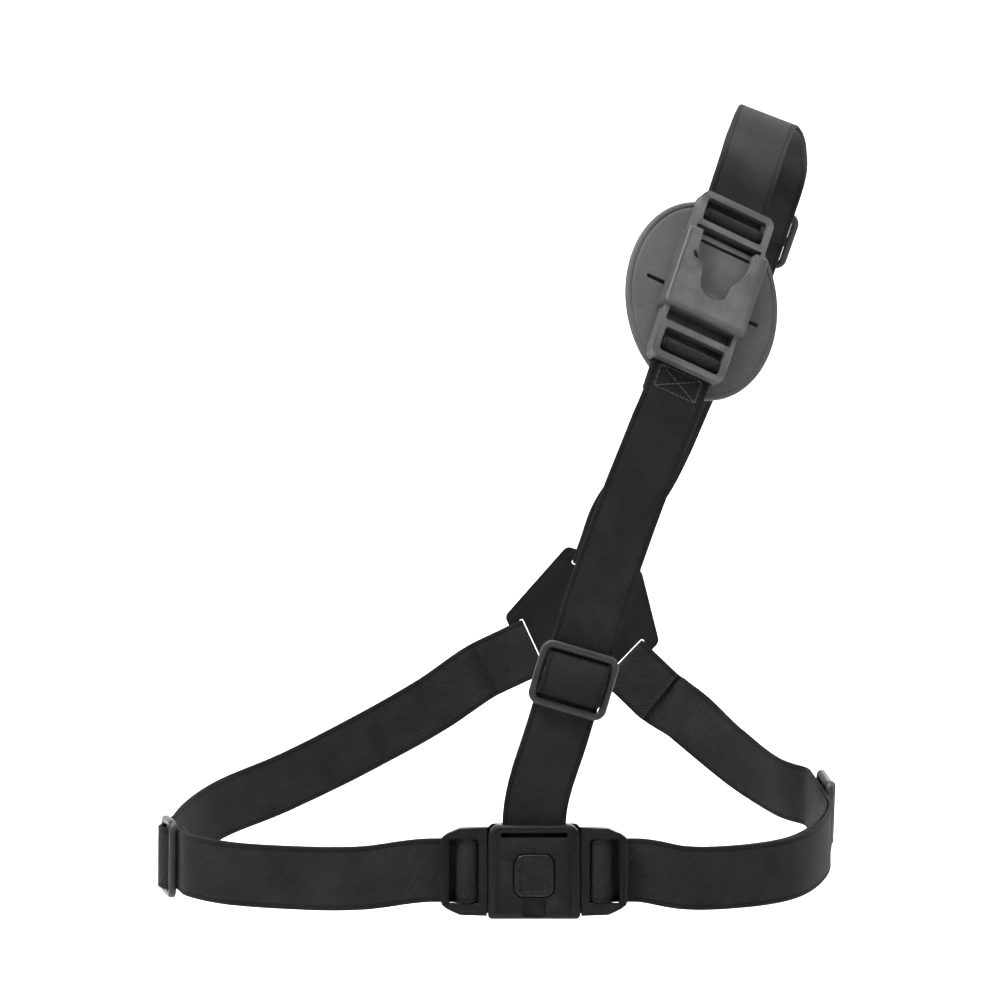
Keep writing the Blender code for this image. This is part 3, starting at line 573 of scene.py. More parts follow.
def strap_layer(sewn_bar, sewn_kind, slider, anchor_bar, anchor_kind):
    """A whole strap: sewn round one bar, single to its adjuster, then doubled round the anchor bar."""
    tuck = 5.0  # from a bar to where the inner layer lies flat on the body
    below = 75.0  # degrees below the horizontal at which the inner layer leaves the bar
    bulge, settle = 0.4, 1.6  # the outer layer's extra height beside a bar, and the run in which it goes
    past, run = 2.0, 10.0  # how far beyond the tail the outer layer starts down, and over what length
    high, (reach, rise), power, leave, slope = wrap_of(sewn_kind)
    layer = Layer((sewn_bar + SEWN_TAIL, INNER))
    layer.to(sewn_bar + tuck, INNER)
    layer.arc((sewn_bar, high), (reach, rise), -below, leave - 360, power=power)
    layer.to(sewn_bar + reach + slope, OUTER + bulge)
    layer.to(sewn_bar + reach + slope + settle, OUTER)
    layer.to(sewn_bar + SEWN_TAIL + past, OUTER)
    layer.ramp(sewn_bar + SEWN_TAIL + past + run, INNER)
    layer.to(slider - SLIDER_FLAT - run, INNER)
    layer.ramp(slider - SLIDER_FLAT - 0.5, OUTER)
    high, (reach, rise), power, leave, slope = wrap_of(anchor_kind)
    layer.to(anchor_bar - reach - slope - settle, OUTER)
    layer.to(anchor_bar - reach - slope, OUTER + bulge)
    layer.arc((anchor_bar, high), (reach, rise), 180 - leave, below - 180, power=power)
    layer.to(anchor_bar - tuck, INNER)
    layer.to(slider, INNER)
    return layer


def web_section():
    """The corners of a strap's section: dished a hair, with grooves, thicker selvedges and round edges."""
    half, thick = WEB_WIDTH / 2, WEB_THICK / 2
    dish, groove_deep = 0.06, 0.10
    steps = (4.0, 7.5, 10.2, GROOVE, 11.4, 12.0)
    face = []
    for x in (*[-step for step in reversed(steps)], 0.0, *steps):
        drop = dish if abs(x) < GROOVE else 0.0
        face.append((x, thick - (groove_deep if abs(x) == GROOVE else drop)))
    edge = [(half - 0.22, thick * 0.78), (half, thick * 0.3)]
    top = face + edge + [(x, -z) for x, z in reversed(edge)]
    return top + [(-x, -z) for x, z in top]


def webbing(name, route, layer, seed, step=RING):
    """One woven strap: its section swept along the layer's line, its weave mapped in millimetres."""
    sway, sway_rate = 0.12, 0.031  # how far it wanders sideways, and how quickly along its length
    ripple, ripple_rates = 0.05, (0.12, 0.09)
    section = web_section()
    line = layer.spaced(step)
    bm = bmesh.new()
    weave = bm.loops.layers.uv.new("weave")
    rings, marks = [], []
    travelled = 0.0
    for i, point in enumerate(line):
        before = line[i] - line[i - 1] if i else line[1] - line[0]
        after = line[i + 1] - line[i] if i < len(line) - 1 else before
        travelled += before.length if i else 0.0
        middle = (before.normalized() + after.normalized()).normalized()
        up = Vector((-middle.y, middle.x))
        swing = sway * noise.noise(Vector((travelled * sway_rate, seed, 0.0)))
        ring = []
        for x, z in section:
            place = Vector((x * ripple_rates[0], travelled * ripple_rates[1], seed + 5.0))
            wave = ripple * noise.noise(place)
            flat = point + up * (z + wave)
            corner = route.frame(flat.x) @ Vector((x + swing, 0.0, flat.y))
            ring.append(bm.verts.new(at(corner)))
        rings.append(ring)
        marks.append(travelled)
    count = len(section)
    for i in range(len(rings) - 1):
        for j in range(count):
            k = (j + 1) % count
            face = bm.faces.new((rings[i][j], rings[i][k], rings[i + 1][k], rings[i + 1][j]))
            spots = ((section[j][0], marks[i]), (section[k][0], marks[i]))
            spots += ((section[k][0], marks[i + 1]), (section[j][0], marks[i + 1]))
            for loop, spot in zip(face.loops, spots):
                loop[weave].uv = spot
    for ring, travelled in ((rings[0][::-1], marks[0]), (rings[-1], marks[-1])):
        cap = bm.faces.new(ring)
        for loop in cap.loops:
            loop[weave].uv = (0.0, travelled)
    return finished(name, bm, WEBBING)


def finished(name, bm, material, sharp=40):
    bmesh.ops.recalc_face_normals(bm, faces=bm.faces)
    mesh = bpy.data.meshes.new(name)
    bm.to_mesh(mesh)
    bm.free()
    mesh.shade_smooth()
    mesh.set_sharp_from_angle(angle=math.radians(sharp))
    mesh.materials.append(material)
    made = bpy.data.objects.new(name, mesh)
    bpy.context.scene.collection.objects.link(made)
    return made


def bridge(bm, rings, capped=True):
    """Faces between closed rings that follow each other, and over the first and the last."""
    for first, second in zip(rings, rings[1:]):
        for j in range(len(first)):
            k = (j + 1) % len(first)
            bm.faces.new((first[j], first[k], second[k], second[j]))
    if capped:
        bm.faces.new(rings[0][::-1])
        bm.faces.new(rings[-1])


def capsule(bm, start, end, outward, radius, lift):
    """One stitch: a thread that rises out of the webbing, lies along it and dives back in."""
    start, end = Vector(start), Vector(end)
    count, sides = 6, 6
    along = (end - start).normalized()
    aside = along.cross(outward).normalized()
    rings = []
    for k in range(count + 1):
        t = k / count
        arch = math.sin(math.pi * t) ** 0.5 if 0 < t < 1 else 0.0
        centre = start.lerp(end, t) + outward * (lift * arch - radius * 0.9 * (1 - arch))
        ring = []
        for j in range(sides):
            angle = math.tau * j / sides
            point = centre + (aside * math.cos(angle) + outward * math.sin(angle)) * radius
            ring.append(bm.verts.new(at(point)))
        rings.append(ring)
    bridge(bm, rings)


def stitch_line(bm, route, start, end, height):
    """A row of stitches between two (across, distance) places on a strap."""
    start, end = Vector(start), Vector(end)
    pitch, gap = 2.3, 0.45
    thread_radius, lift = 0.22, 0.10
    count = max(1, round((end - start).length / pitch))
    for k in range(count):
        a = start.lerp(end, (k + gap / pitch / 2) / count)
        b = start.lerp(end, (k + 1 - gap / pitch / 2) / count)
        ends = [route.frame(p.y) @ Vector((p.x, 0.0, height)) for p in (a, b)]
        outward = route.frame((a.y + b.y) / 2).col[2].to_3d()
        capsule(bm, *ends, outward, thread_radius, lift)


def sewn_box(name, route, bar):
    """The box and cross that hold a strap's tail, sewn through both layers and seen on the outer one."""
    bm = bmesh.new()
    near, far = bar + 7.6, bar + SEWN_TAIL - 1.8
    side = WEB_WIDTH / 2 - 3.6
    corners = [(-side, near), (side, near), (side, far), (-side, far)]
    height = OUTER + WEB_THICK / 2
    over = 0.06  # by which each row of the cross lies on the one before
    for i in range(4):
        stitch_line(bm, route, corners[i], corners[(i + 1) % 4], height)
    stitch_line(bm, route, corners[0], corners[2], height + over)
    stitch_line(bm, route, corners[1], corners[3], height + 2 * over)
    return finished(name, bm, THREAD, 60)


# ---------------- shape tools


def placed(frame_mm):
    """The world matrix of an object modelled in metres in a frame that is given in millimetres."""
    return Matrix.Translation(at(frame_mm.translation)) @ frame_mm.to_3x3().to_4x4()


def rounded(width, height, radius, steps=6, centre=(0.0, 0.0)):
    """The corners of a rounded rectangle, anticlockwise."""
    found = []
    for turn, (sx, sy) in enumerate(((1, 1), (-1, 1), (-1, -1), (1, -1))):
        for k in range(steps + 1):
            angle = math.radians(90 * (turn + k / steps))
            x = centre[0] + sx * (width / 2 - radius) + radius * math.cos(angle)
            y = centre[1] + sy * (height / 2 - radius) + radius * math.sin(angle)
            found.append((x, y))
    return found


def oval(radii, degrees):
    """Points on an oval round the origin, at each of the angles."""
    angles = [math.radians(angle) for angle in degrees]
    return [(radii[0] * math.cos(angle), radii[1] * math.sin(angle)) for angle in angles]


def prism(outline, low, high):
    """A closed prism over an outline in X and Y, from low to high in Z, all in millimetres."""
    bm = bmesh.new()
    bottom = [bm.verts.new((x * MM, y * MM, low * MM)) for x, y in outline]
    top = [bm.verts.new((x * MM, y * MM, high * MM)) for x, y in outline]
    bm.faces.new(bottom[::-1])
    bm.faces.new(top)
    for i in range(len(outline)):
        j = (i + 1) % len(outline)
        bm.faces.new((bottom[i], bottom[j], top[j], top[i]))
    return bm


def block(x, y, z):
    return prism(((x[0], y[0]), (x[1], y[0]), (x[1], y[1]), (x[0], y[1])), z[0], z[1])


def rod(start, end, radius, sides=32):
    """A round rod between two points in millimetres."""
    start, end = Vector(start), Vector(end)
    bm = bmesh.new()
    turn = (end - start).to_track_quat("Z", "Y").to_matrix().to_4x4()
    bmesh.ops.create_cone(
        bm,
        cap_ends=True,
        segments=sides,
        radius1=radius * MM,
        radius2=radius * MM,
        depth=(end - start).length * MM,
        matrix=Matrix.Translation((start + end) / 2 * MM) @ turn,
    )
    return bm


class Moulding:
    """A moulded piece: a first shape, then bevels, cuts and additions, finished as one mesh on its body."""

    def __init__(self, name, place, bm, material):
        self.place = placed(place)
        self.made = finished(name, bm, material)
        self.made.matrix_world = self.place
        self.helpers = []

    def boolean(self, operation, other, solver="EXACT"):
        self.helpers.append(other)
        modifier = self.made.modifiers.new(operation, "BOOLEAN")
        modifier.operation = operation
        modifier.solver = solver
        modifier.object = other

    def combine(self, operation, shapes, solver="EXACT"):
        for bm in shapes:
            other = finished("helper", bm, self.made.data.materials[0])
            other.matrix_world = self.place
            self.boolean(operation, other, solver)

    def cut(self, *shapes, solver="EXACT"):
        self.combine("DIFFERENCE", shapes, solver)

    def add(self, *shapes):
        self.combine("UNION", shapes)

    def merge(self, operation, other):
        """Joins or cuts with another moulding, its own bevels included."""
        bake_modifiers(other.made)
        self.boolean(operation, other.made)

    def soften(self, width, segments=3, angle=35):
        bevel = self.made.modifiers.new("Bevel", "BEVEL")
        bevel.width = width * MM
        bevel.segments = segments
        bevel.limit_method = "ANGLE"
        bevel.angle_limit = math.radians(angle)
        bevel.miter_outer = "MITER_ARC"

    def finish(self, slot, body, *replaced):
        bake_modifiers(self.made)
        for other in self.helpers:
            bpy.data.objects.remove(other)
        self.made.data.shade_smooth()
        self.made.data.set_sharp_from_angle(angle=math.radians(38))
        flat = self.made.modifiers.new("Flat faces", "WEIGHTED_NORMAL")
        flat.keep_sharp = True
        flat.weight = 100
        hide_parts(*replaced)
        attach(self.made, body)
        return self.made


def bake_modifiers(made):
    """Replaces an object's mesh with what its modifiers make of it."""
    bpy.context.view_layer.update()
    graph = bpy.context.evaluated_depsgraph_get()
    mesh = bpy.data.meshes.new_from_object(made.evaluated_get(graph))
    made.modifiers.clear()
    made.data = mesh


# ---------------- moulded pieces


def build_slider(name, route_frame):
    """An adjuster: a rounded frame with two windows and a ribbed middle bar."""
    width, height = SLIDER_SIZE
    low, high = SLIDER_LOW, SLIDER_HIGH
    shape = prism(rounded(width, height, 5.0, 10), low, high)
    made = Moulding(f"{name}_adjuster", route_frame, shape, ADJUSTER_NYLON)
    window = rounded(2 * SLIDER_SLOT_HALF, height - 2 * SLIDER_BAR, 1.6)
    made.cut(prism(window, low - 1, high + 1))
    made.soften(1.15, 4)
    bar_half, rib_half, rib_pitch, last_rib = 1.9, 0.25, 2, 12
    made.add(block((-BAR_REACH, BAR_REACH), (-bar_half, bar_half), (low + 0.5, high - 0.7)))
    deep = (-bar_half - 0.15, bar_half + 0.15)
    tall = (low + 1.0, high - 0.55)
    for x in range(-last_rib, last_rib + 1, rib_pitch):
        made.add(block((x - rib_half, x + rib_half), deep, tall))
    made.finish("hardware", f"{name}_slider", f"{name}_slider")


def funnel_outline():
    """The opening in the dock's face: wide at the top, then a U that the device's stud drops into."""
    side = [(12.2, BLOCK_TOP + 2.0), (11.6, 11.0), (10.9, 9.0), (9.6, 6.6), (8.0, 4.3), (7.2, 2.6)]
    side.append((U_RADIUS, 0.9))
    middle = U_BOTTOM + U_RADIUS
    arc = [(x, middle + y) for x, y in oval((U_RADIUS, U_RADIUS), range(0, -181, -10))]
    return side + arc + [(-x, y) for x, y in reversed(side)]


def build_dock_body():
    """The dock: a raised block with the funnel in it, between two window frames that hold the strap bars."""
    outline = rounded(2 * DOCK_HALF_WIDTH, 2 * DOCK_HALF, 3.6, 8)
    made = Moulding("dock_moulding", DOCK, prism(outline, DOCK_BACK, DOCK_FACE), DOCK_PLASTIC)
    behind, before = -1.0, 12.0  # heights past both faces
    for low, high in (UPPER_WINDOW, LOWER_WINDOW):
        window = rounded(2 * SLOT_HALF, high - low, 1.3, 6, (0.0, (low + high) / 2))
        made.cut(prism(window, behind, before))
    for along in ((24.0, 40.0), (-40.0, -23.6)):
        made.cut(block((-SLOT_HALF, SLOT_HALF), along, (behind, 4.2)))  # lets the webbing in from behind
    for along in ((BLOCK_TOP, 22.2), (-21.5, BLOCK_BOTTOM)):
        made.cut(block((-14.6, 14.6), along, (1.2, before)))  # the gap between the block and a frame
    made.soften(0.75, 3)
    middle = (0.0, (BLOCK_TOP + BLOCK_BOTTOM) / 2)
    block_outline = rounded(2 * BLOCK_HALF_WIDTH, BLOCK_TOP - BLOCK_BOTTOM, 2.0, 6, middle)
    raised = Moulding("dock_block", DOCK, prism(block_outline, DOCK_BACK, BLOCK_HIGH), DOCK_PLASTIC)
    raised.soften(1.0, 4)
    made.merge("UNION", raised)
    centre = (0.0, POCKET_Y)
    notch = ((-9.9, 6.6), (-12.6, 7.2), (-13.4, 9.6), (-12.4, 9.9), (-11.0, 9.0))
    made.cut(
        prism(funnel_outline(), RECESS_FLOOR - 1.0, BLOCK_HIGH + 1),
        prism(rounded(25.6, 29.6, 2.0, 4, centre), 2.4, RECESS_FLOOR + 0.4),  # the tongue's room
        prism(rounded(*POCKET_SIZE, 2.0, 4, centre), behind, 3.0),
        prism(notch, 9.0, before),
    )
    made.soften(0.28, 2, 50)
    for bar in (UPPER_BAR, LOWER_BAR):
        made.add(rod((-BAR_REACH, bar, WEB_BAR_HIGH), (BAR_REACH, bar, WEB_BAR_HIGH), WEB_BAR_RADIUS))
    made.finish("dock", ROOT, "dock_body")


def build_dock_tongue():
    """The dock's sprung tongue: its floor from the hinge down, with a low ridge near its tip."""
    side = [(0.0, -0.8), (0.0, 0.7), (-19.0, 0.7), (-19.8, 1.05), (-21.4, 1.1)]
    side += [(-22.4, 0.7), (-27.0, 0.7), (-27.0, -0.8)]
    shape = bmesh.new()
    left = [shape.verts.new((-CATCH_HALF * MM, y * MM, z * MM)) for y, z in side]
    right = [shape.verts.new((CATCH_HALF * MM, y * MM, z * MM)) for y, z in side]
    shape.faces.new(left)
    shape.faces.new(right[::-1])
    for i in range(len(side)):
        j = (i + 1) % len(side)
        shape.faces.new((left[j], left[i], right[i], right[j]))
    hinge = DOCK @ Matrix.Translation((0.0, *CATCH_HINGE))
    made = Moulding("dock_tongue", hinge, shape, DOCK_PLASTIC)
    made.soften(SOFT_EDGE, 2, 50)
    made.finish("dock", "dock_catch", "dock_catch")


def build_dock_cover():
    """The thin cover in the dock's back, with five grooves across it."""
    low, high, groove_deep = 0.5, 2.0, 0.4
    size = [side - 2 * POCKET_GAP for side in POCKET_SIZE]
    cover = prism(rounded(*size, 1.8, 5, (0.0, POCKET_Y)), low, high)
    made = Moulding("dock_rear_cover", DOCK, cover, DOCK_PLASTIC)
    for y in range(-5, 12, 4):
        made.cut(prism(rounded(15.0, 1.6, 0.7, 4, (0.0, y)), -1.0, low + groove_deep))
    made.soften(SOFT_EDGE, 2, 50)
    made.finish("dock", ROOT, "dock_back_cover")


def build_pad_key():
    """The key that holds the pad: a thin web in the pad's slit, with a foot behind it."""
    low = -PAD_GAP - PAD_THICK - 1.4
    reach = PAD_SLIT_HALF - 0.4
    web = block((-reach, reach), (-0.5, 0.5), (low, -PAD_GAP - 0.9))
    made = Moulding("pad_key", DOCK @ PAD_SHIFT, web, NYLON)
    made.add(prism(rounded(28.0, 7.0, 2.0), low - 0.1, low + 1.0))
    made.soften(SOFT_EDGE, 2, 50)
    made.finish("dock", ROOT, "pad_keeper")


def build_front_cover():
    """The buckle's front shell, with the strap slot under its top rail and a channel below the button."""
    width, height = BODY_HALF
    clip = 15.4  # where the clipped upper corners begin, both ways
    outline = [(-width, -height), (width, -height), (width, clip), (clip, height)]
    outline += [(-clip, height), (-width, clip)]
    made = Moulding("buckle_front_shell", BUCKLE, prism(outline, FRONT_LOW, FRONT_HIGH), NYLON)
    made.soften(1.6, 5)
    under, top = FRONT_LOW - 1, FRONT_HIGH + 2.0
    slot = (-SLOT_HALF, SLOT_HALF)
    hole = rounded(BUTTON_SIZE[0] + 0.8, BUTTON_SIZE[1] + 0.8, 4.4, 8, (0.0, BUTTON_Y))
    inside = block((-16.2, 16.2), (-13.4, 9.4), (under, 8.8))
    latch_doors = block((-20.0, 20.0), (-11.0, 9.1), (3.8, 7.4))
    strap_door = block(slot, (8.5, 22.0), (under, 7.1))
    loop_room = block(slot, (8.3, 15.5), (6.0, 8.7))
    rail_slot = prism(rounded(2 * SLOT_HALF, 1.9, 0.7, 4, (0.0, 14.75)), 6.1, top)
    bar_room = block((-16.5, 16.5), (10.4, 14.0), (under, 6.75))
    channel = prism(rounded(9.2, 9.0, 1.6, 5, (0.0, -13.2)), 10.9, top)
    grooves = [block((x - 0.3, x + 0.3), (-16.2, 11.6), (12.2, top)) for x in (-14.4, 14.4)]
    rooms = [inside, latch_doors, strap_door, loop_room, rail_slot, bar_room, prism(hole, 8.0, top)]
    made.cut(*rooms, channel, *grooves, solver="MANIFOLD")
    made.soften(0.22, 2, 55)
    made.finish("hardware", ROOT, "buckle_front_cover")


def build_back_cover():
    """The buckle's back shell with the fixed strap bar and four shallow pockets in its rear face."""
    width, height = BODY_HALF
    shell = prism(rounded(2 * width, 2 * height, 2.5), BACK_LOW, BACK_HIGH)
    made = Moulding("buckle_back_shell", BUCKLE, shell, NYLON)
    made.soften(0.6, 3)
    deep = (TOP_BAR_Y - 1.4, TOP_BAR_Y + 1.4)
    post_x, post_half = 14.9, 1.2
    flange = block((-20.6, 20.6), (-17.2, 17.2), (BACK_LOW, BACK_LOW + 1.35))
    posts = [block((x - post_half, x + post_half), deep, (BACK_HIGH - 0.3, 6.4)) for x in (-post_x, post_x)]
    bar = block((-15.2, 15.2), deep, (FRONT_STRAP_LIFT + 1.85, FRONT_STRAP_LIFT + 3.35))
    made.add(flange, *posts, bar)
    for spot in ((-9.0, -9.5), (9.0, -9.5), (-9.0, 2.5), (9.0, 2.5)):
        made.cut(prism(rounded(13.0, 9.0, 1.8, 5, spot), BACK_LOW - 1, BACK_LOW + 0.5))
    made.soften(0.15, 2, 55)
    made.finish("hardware", ROOT, "buckle_back_cover")


def build_button():
    """The release button: a plate with a dished face, on a neck with two lugs that keep it in its hole."""
    low, face, rim = 9.3, 13.3, 4.2
    centre = (0.0, BUTTON_Y)
    cap = prism(rounded(*BUTTON_SIZE, 4.0, 8, centre), low, face)
    made = Moulding("release_button", BUCKLE, cap, BUTTON)
    made.soften(1.0, 4)
    hollow = rounded(BUTTON_SIZE[0] - rim, BUTTON_SIZE[1] - rim, 2.6, 8, centre)
    dish = Moulding("dish", BUCKLE, prism(hollow, face - 0.55, face + 1.7), BUTTON)
    dish.soften(0.45, 3)
    made.merge("DIFFERENCE", dish)
    made.add(
        prism(rounded(6.0, 6.0, 2.0, 5, centre), 7.4, low + 0.5),
        block((-3.2, 3.2), (BUTTON_Y - 7.9, BUTTON_Y + 7.9), (7.7, low + 0.6)),
        block((-3.4, 3.4), (BUTTON_Y - 9.4, BUTTON_Y + 9.4), (7.6, 8.4)),
    )
    made.finish("button", "push_button", "push_button")


def build_latch(name, side):
    """A side latch: a frame round a strap bar, with two hooked prongs that enter the body."""
    turn = Matrix.Identity(4) if side > 0 else Matrix.Rotation(math.pi, 4, "Z")
    upper = [(LATCH_END, 11.0), (36.7, 13.4), (34.6, 15.0), (29.5, 17.2), (18.75, LATCH_HALF)]
    outline = [(x, -y) for x, y in reversed(upper)] + upper
    made = Moulding(f"{name}_moulding", BUCKLE @ turn, prism(outline, 2.2, 10.4), NYLON)
    window_x = (22.1, 34.0)
    past, behind, before = 40.0, -1.0, 12.0  # beyond the latch's end and both faces
    middle = (sum(window_x) / 2, 0.0)
    window = rounded(window_x[1] - window_x[0], 2 * LATCH_SLOT_HALF, 1.0, 5, middle)
    strap_room = block((window_x[0], past), (-LATCH_SLOT_HALF, LATCH_SLOT_HALF), (behind, 4.2))
    end_step = block((33.4, past), (-20.0, 20.0), (8.8, before))
    grooves = [block((x - 0.35, x + 0.35), (-14.0, 14.0), (8.35, before)) for x in (34.6, 35.9)]
    made.cut(prism(window, behind, before), strap_room, end_step, *grooves)
    made.soften(0.8, 4)
    bar_ends = [(LATCH_BAR_X, y, LATCH_BAR_HIGH) for y in (-BAR_REACH, BAR_REACH)]
    guide = block((15.5, 20.5), (-8.9, 8.9), (4.0, 6.8))
    made.add(rod(*bar_ends, LATCH_BAR_RADIUS), guide)
    prong = [(20.0, 4.6), (5.4, 4.9), (4.2, 6.0), (4.6, 8.3), (7.4, 8.3), (7.8, 6.9), (20.0, 7.4)]
    mirrored = [(x, -y) for x, y in reversed(prong)]
    made.add(prism(mirrored, 4.2, 6.3), prism(prong, 4.2, 6.3))
    made.finish("hardware", name, name)


def turned(points, angle):
    turn = Matrix.Rotation(math.radians(angle - 90), 2)
    return [tuple(turn @ Vector(point)) for point in points]


def build_plate():
    """The back plate with its three strap slots, and the raised panel in its middle."""
    angles = PLATE_DIRECTIONS.values()
    corners, face = [], []
    for angle in angles:
        corners += turned([(PLATE_EDGE_HALF, PLATE_APOTHEM), (-PLATE_EDGE_HALF, PLATE_APOTHEM)], angle)
        face += turned([(12.5, 18.6), (-12.5, 18.6)], angle)
    rounding, steps = 2.2, 6
    outline = []
    for i, corner in enumerate(corners):
        corner = Vector(corner)
        before = (Vector(corners[i - 1]) - corner).normalized() * rounding
        after = (Vector(corners[(i + 1) % 6]) - corner).normalized() * rounding
        for k in range(steps + 1):
            t = k / steps
            outline.append(corner + before * (1 - t) ** 2 + after * t**2)
    plate = Moulding("plate_moulding", PLATE, prism(outline, PLATE_LOW, PLATE_HIGH), PLATE_NYLON)
    middle = (0.0, PLATE_BAR - PLATE_BAR_HALF - PLATE_SLOT_WIDE / 2)
    slot = rounded(2 * PLATE_SLOT_HALF, PLATE_SLOT_WIDE, 0.9, 6, middle)
    groove = rounded(2 * PLATE_SLOT_HALF - 1.0, 0.9, 0.4, 3, (0.0, 19.6))
    past, groove_deep = 8.0, 0.5
    for angle in angles:
        plate.cut(prism(turned(slot, angle), 0.0, past))
        plate.cut(prism(turned(groove, angle), PLATE_HIGH - groove_deep, past))
    plate.soften(0.6, 3)
    plate.finish("plate", ROOT, "back_plate")
    low, thick = PLATE_HIGH + 0.3, 1.1
    panel = Moulding("plate_panel", PLATE, prism(face, low, low + thick), PLATE_NYLON)
    panel.soften(0.6, 4)
    panel.finish("plate", ROOT, "back_plate_panel")


def build_straps():
    bars = {}
    for side, angle in PLATE_DIRECTIONS.items():
        turn = Matrix.Rotation(math.radians(angle), 4, "Z")
        bars[side] = PLATE @ turn @ Vector((PLATE_BAR, 0.0, 0.0))
    upper = DOCK @ Vector((0.0, UPPER_BAR, 0.0))
    lower = DOCK @ Vector((0.0, LOWER_BAR, 0.0))
    top = BUCKLE @ Vector((0.0, TOP_BAR_Y, FRONT_STRAP_LIFT))
    latch = {side: BUCKLE @ Vector((side * LATCH_BAR_X, 0.0, 0.0)) for side in (1, -1)}
    plan = {
        "shoulder": ((bars["shoulder"], "plate"), (upper, "dock")),
        "front": ((lower, "dock"), (top, "buckle")),
        "left_waist": ((bars["left_waist"], "plate"), (latch[1], "latch")),
        "right_waist": ((bars["right_waist"], "plate"), (latch[-1], "latch")),
    }
    made = routes()
    for seed, (name, (sewn, anchor)) in enumerate(plan.items()):
        route = made[name]
        slider = route.nearest(SLIDER_PLACES[name][0])
        sewn_bar = route.nearest(sewn[0])
        layer = strap_layer(sewn_bar, sewn[1], slider, route.nearest(anchor[0]), anchor[1])
        strap = webbing(f"{name}_webbing", route, layer, seed * 7.0)
        stitches = sewn_box(f"{name}_stitches", route, sewn_bar)
        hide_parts(f"{name}_strap")
        if name in WAIST_BENDS:
            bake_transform(strap)
        else:
            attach(strap, ROOT)
        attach(stitches, ROOT)
        arch = Layer()
        arch.arc((slider - ARCH_SHIFT, ARCH_HIGH), ARCH_RADII, 180, 0)
        build_slider(name, route.frame(slider))
        web = webbing(f"{name}_slider_arch", route, arch, seed * 7.0 + 3.0, ARCH_RING)
        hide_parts(f"{name}_slider_web")
        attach(web, f"{name}_slider")


def build_pad():
    """The oval pad: a sheet with a rolled edge and a sunk seam inside it, slit across."""
    turn = Matrix.Rotation(math.radians(PAD_TURN), 2)
    low = -PAD_GAP - PAD_THICK
    half = PAD_THICK / 2
    sides = 160
    rolled = [(x - 1.0, y) for x, y in oval((1.0, half), range(-80, 81, 20))]
    seam = [(-1.0, 0.0), (-1.9, 0.0), (-2.3, -0.32), (-2.7, -0.32), (-3.1, -0.04), (-4.2, -0.04)]
    under = [(inset, -half - drop) for inset, drop in reversed(seam)]
    over = [(inset, half + drop) for inset, drop in seam]
    bm = bmesh.new()
    rings = []
    for inset, height in under + rolled + over:
        ring = []
        for k in range(sides):
            angle = math.tau * k / sides
            across, along = (size / 2 + inset for size in PAD_SIZE)
            flat = turn @ Vector((across * math.cos(angle), along * math.sin(angle)))
            ring.append(bm.verts.new(Vector((flat.x, flat.y, low + half + height)) * MM))
        rings.append(ring)
    bridge(bm, rings)
    made = Moulding("dock_pad_sheet", DOCK @ PAD_SHIFT, bm, PAD)
    slit = rounded(2 * PAD_SLIT_HALF, PAD_SLIT_WIDE, 0.5, 4)
    made.cut(prism(slit, low - 1, low + PAD_THICK + 1))
    made.finish("pad", ROOT, "dock_pad")


def build_hardware():
    build_dock_body()
    build_dock_tongue()
    build_dock_cover()
    build_pad_key()
    build_front_cover()
    build_back_cover()
    build_button()
    build_latch("left_latch", 1)
    build_latch("right_latch", -1)
    build_plate()
    spring = nodes["button_spring"]
    spring.data.materials.clear()
    spring.data.materials.append(STEEL)
    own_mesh(spring)


# ---------------- stage


def build_stage():
    """A pale round studio: a flat floor that curves up into a wall all round."""
    lo, hi = cad_box
    middle = (lo + hi) / 2
    clearance = 0.16  # from the floor up to the harness
    floor = lo.z - clearance
    flat, curve, wall_top, sides = 3.2, 2.2, 6.0, 96
    profile = [(flat, 0.0)]
    profile += [(flat + y, curve - x) for x, y in oval((curve, curve), range(6, 91, 6))]
    profile.append((flat + curve, wall_top))
    bm = bmesh.new()
    rings = []
    for radius, height in profile:
        ring = []
        for k in range(sides):
            angle = math.tau * k / sides
            spot = (middle.x + radius * math.cos(angle), middle.y + radius * math.sin(angle), floor + height)
            ring.append(bm.verts.new(spot))
        rings.append(ring)
    bm.faces.new(rings[0])
    bridge(bm, rings, capped=False)
    finished("studio", bm, stage_material())


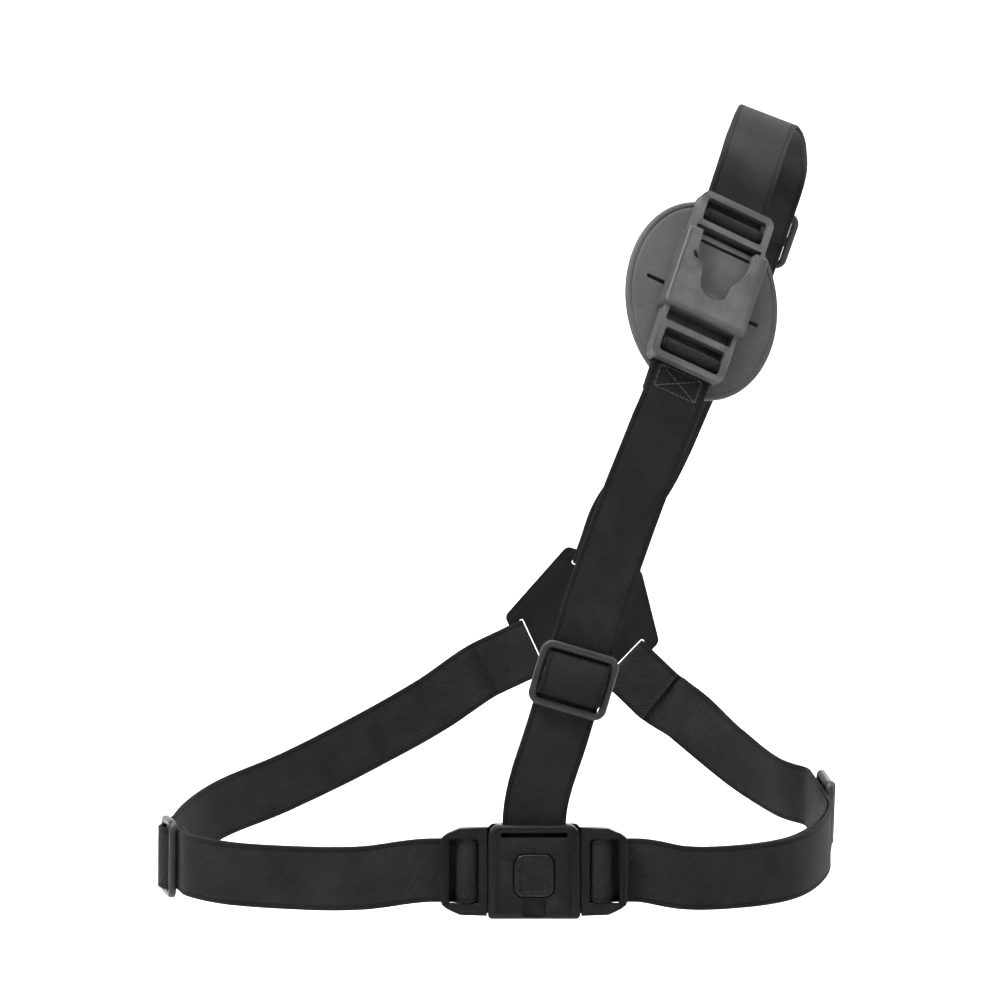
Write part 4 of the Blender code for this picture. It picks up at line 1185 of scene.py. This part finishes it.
def add_light(name, place, target, size, power):
    data = bpy.data.lights.new(name, "AREA")
    data.shape = "RECTANGLE"
    data.size, data.size_y = size
    data.energy = power
    made = bpy.data.objects.new(name, data)
    made.location = place
    made.rotation_euler = (Vector(target) - Vector(place)).to_track_quat("-Z", "Y").to_euler()
    bpy.context.scene.collection.objects.link(made)
    return data


# Name, place from the object's middle, size and power
OBJECT_LIGHTS = (
    ("key", (-0.9, -0.9, 1.5), (0.6, 0.6), 34.0),
    ("top", (0.2, -0.1, 1.7), (1.0, 0.8), 26.0),
    ("fill", (1.6, -1.2, 0.2), (0.8, 0.8), 1.5),
    ("back", (0.6, 1.7, 1.1), (1.2, 0.9), 12.0),
)
# Name, side, which wall, and power
WALL_LIGHTS = (("wall_left", -1, 1, 115.0), ("wall_right", 1, 1, 115.0), ("wall_front", 0, -1, 10.0))


def build_lights():
    middle = (cad_box[0] + cad_box[1]) / 2
    for name, offset, size, power in OBJECT_LIGHTS:
        add_light(name, middle + Vector(offset), middle, size, power)
    for name, side, way, power in WALL_LIGHTS:
        spot = middle + Vector((side * 2.2, 0.0, 3.6))
        light = add_light(name, spot, middle + Vector((side, way * 3.5, 0.0)), (2.4, 2.4), power)
        light.spread = math.radians(80)
    world = bpy.data.worlds.new("soft_room")
    world.use_nodes = True
    sky = world.node_tree.nodes["Background"]
    sky.inputs["Color"].default_value = (1.0, 1.0, 1.0, 1.0)
    sky.inputs["Strength"].default_value = 0.10
    bpy.context.scene.world = world
    bpy.context.scene.view_settings.view_transform = "Standard"


def build_camera():
    """A long lens straight in front of the harness, a hair above its middle."""
    distance, above = 2.2, 0.03
    data = bpy.data.cameras.new("camera")
    data.lens = 190.0
    data.clip_end = 50.0
    made = bpy.data.objects.new("camera", data)
    target = (cad_box[0] + cad_box[1]) / 2
    made.location = target + Vector((0.0, -distance, above))
    made.rotation_euler = (target - made.location).to_track_quat("-Z", "Y").to_euler()
    bpy.context.scene.collection.objects.link(made)
    bpy.context.scene.camera = made


build_straps()
build_pad()
build_hardware()
build_stage()
build_lights()
build_camera()
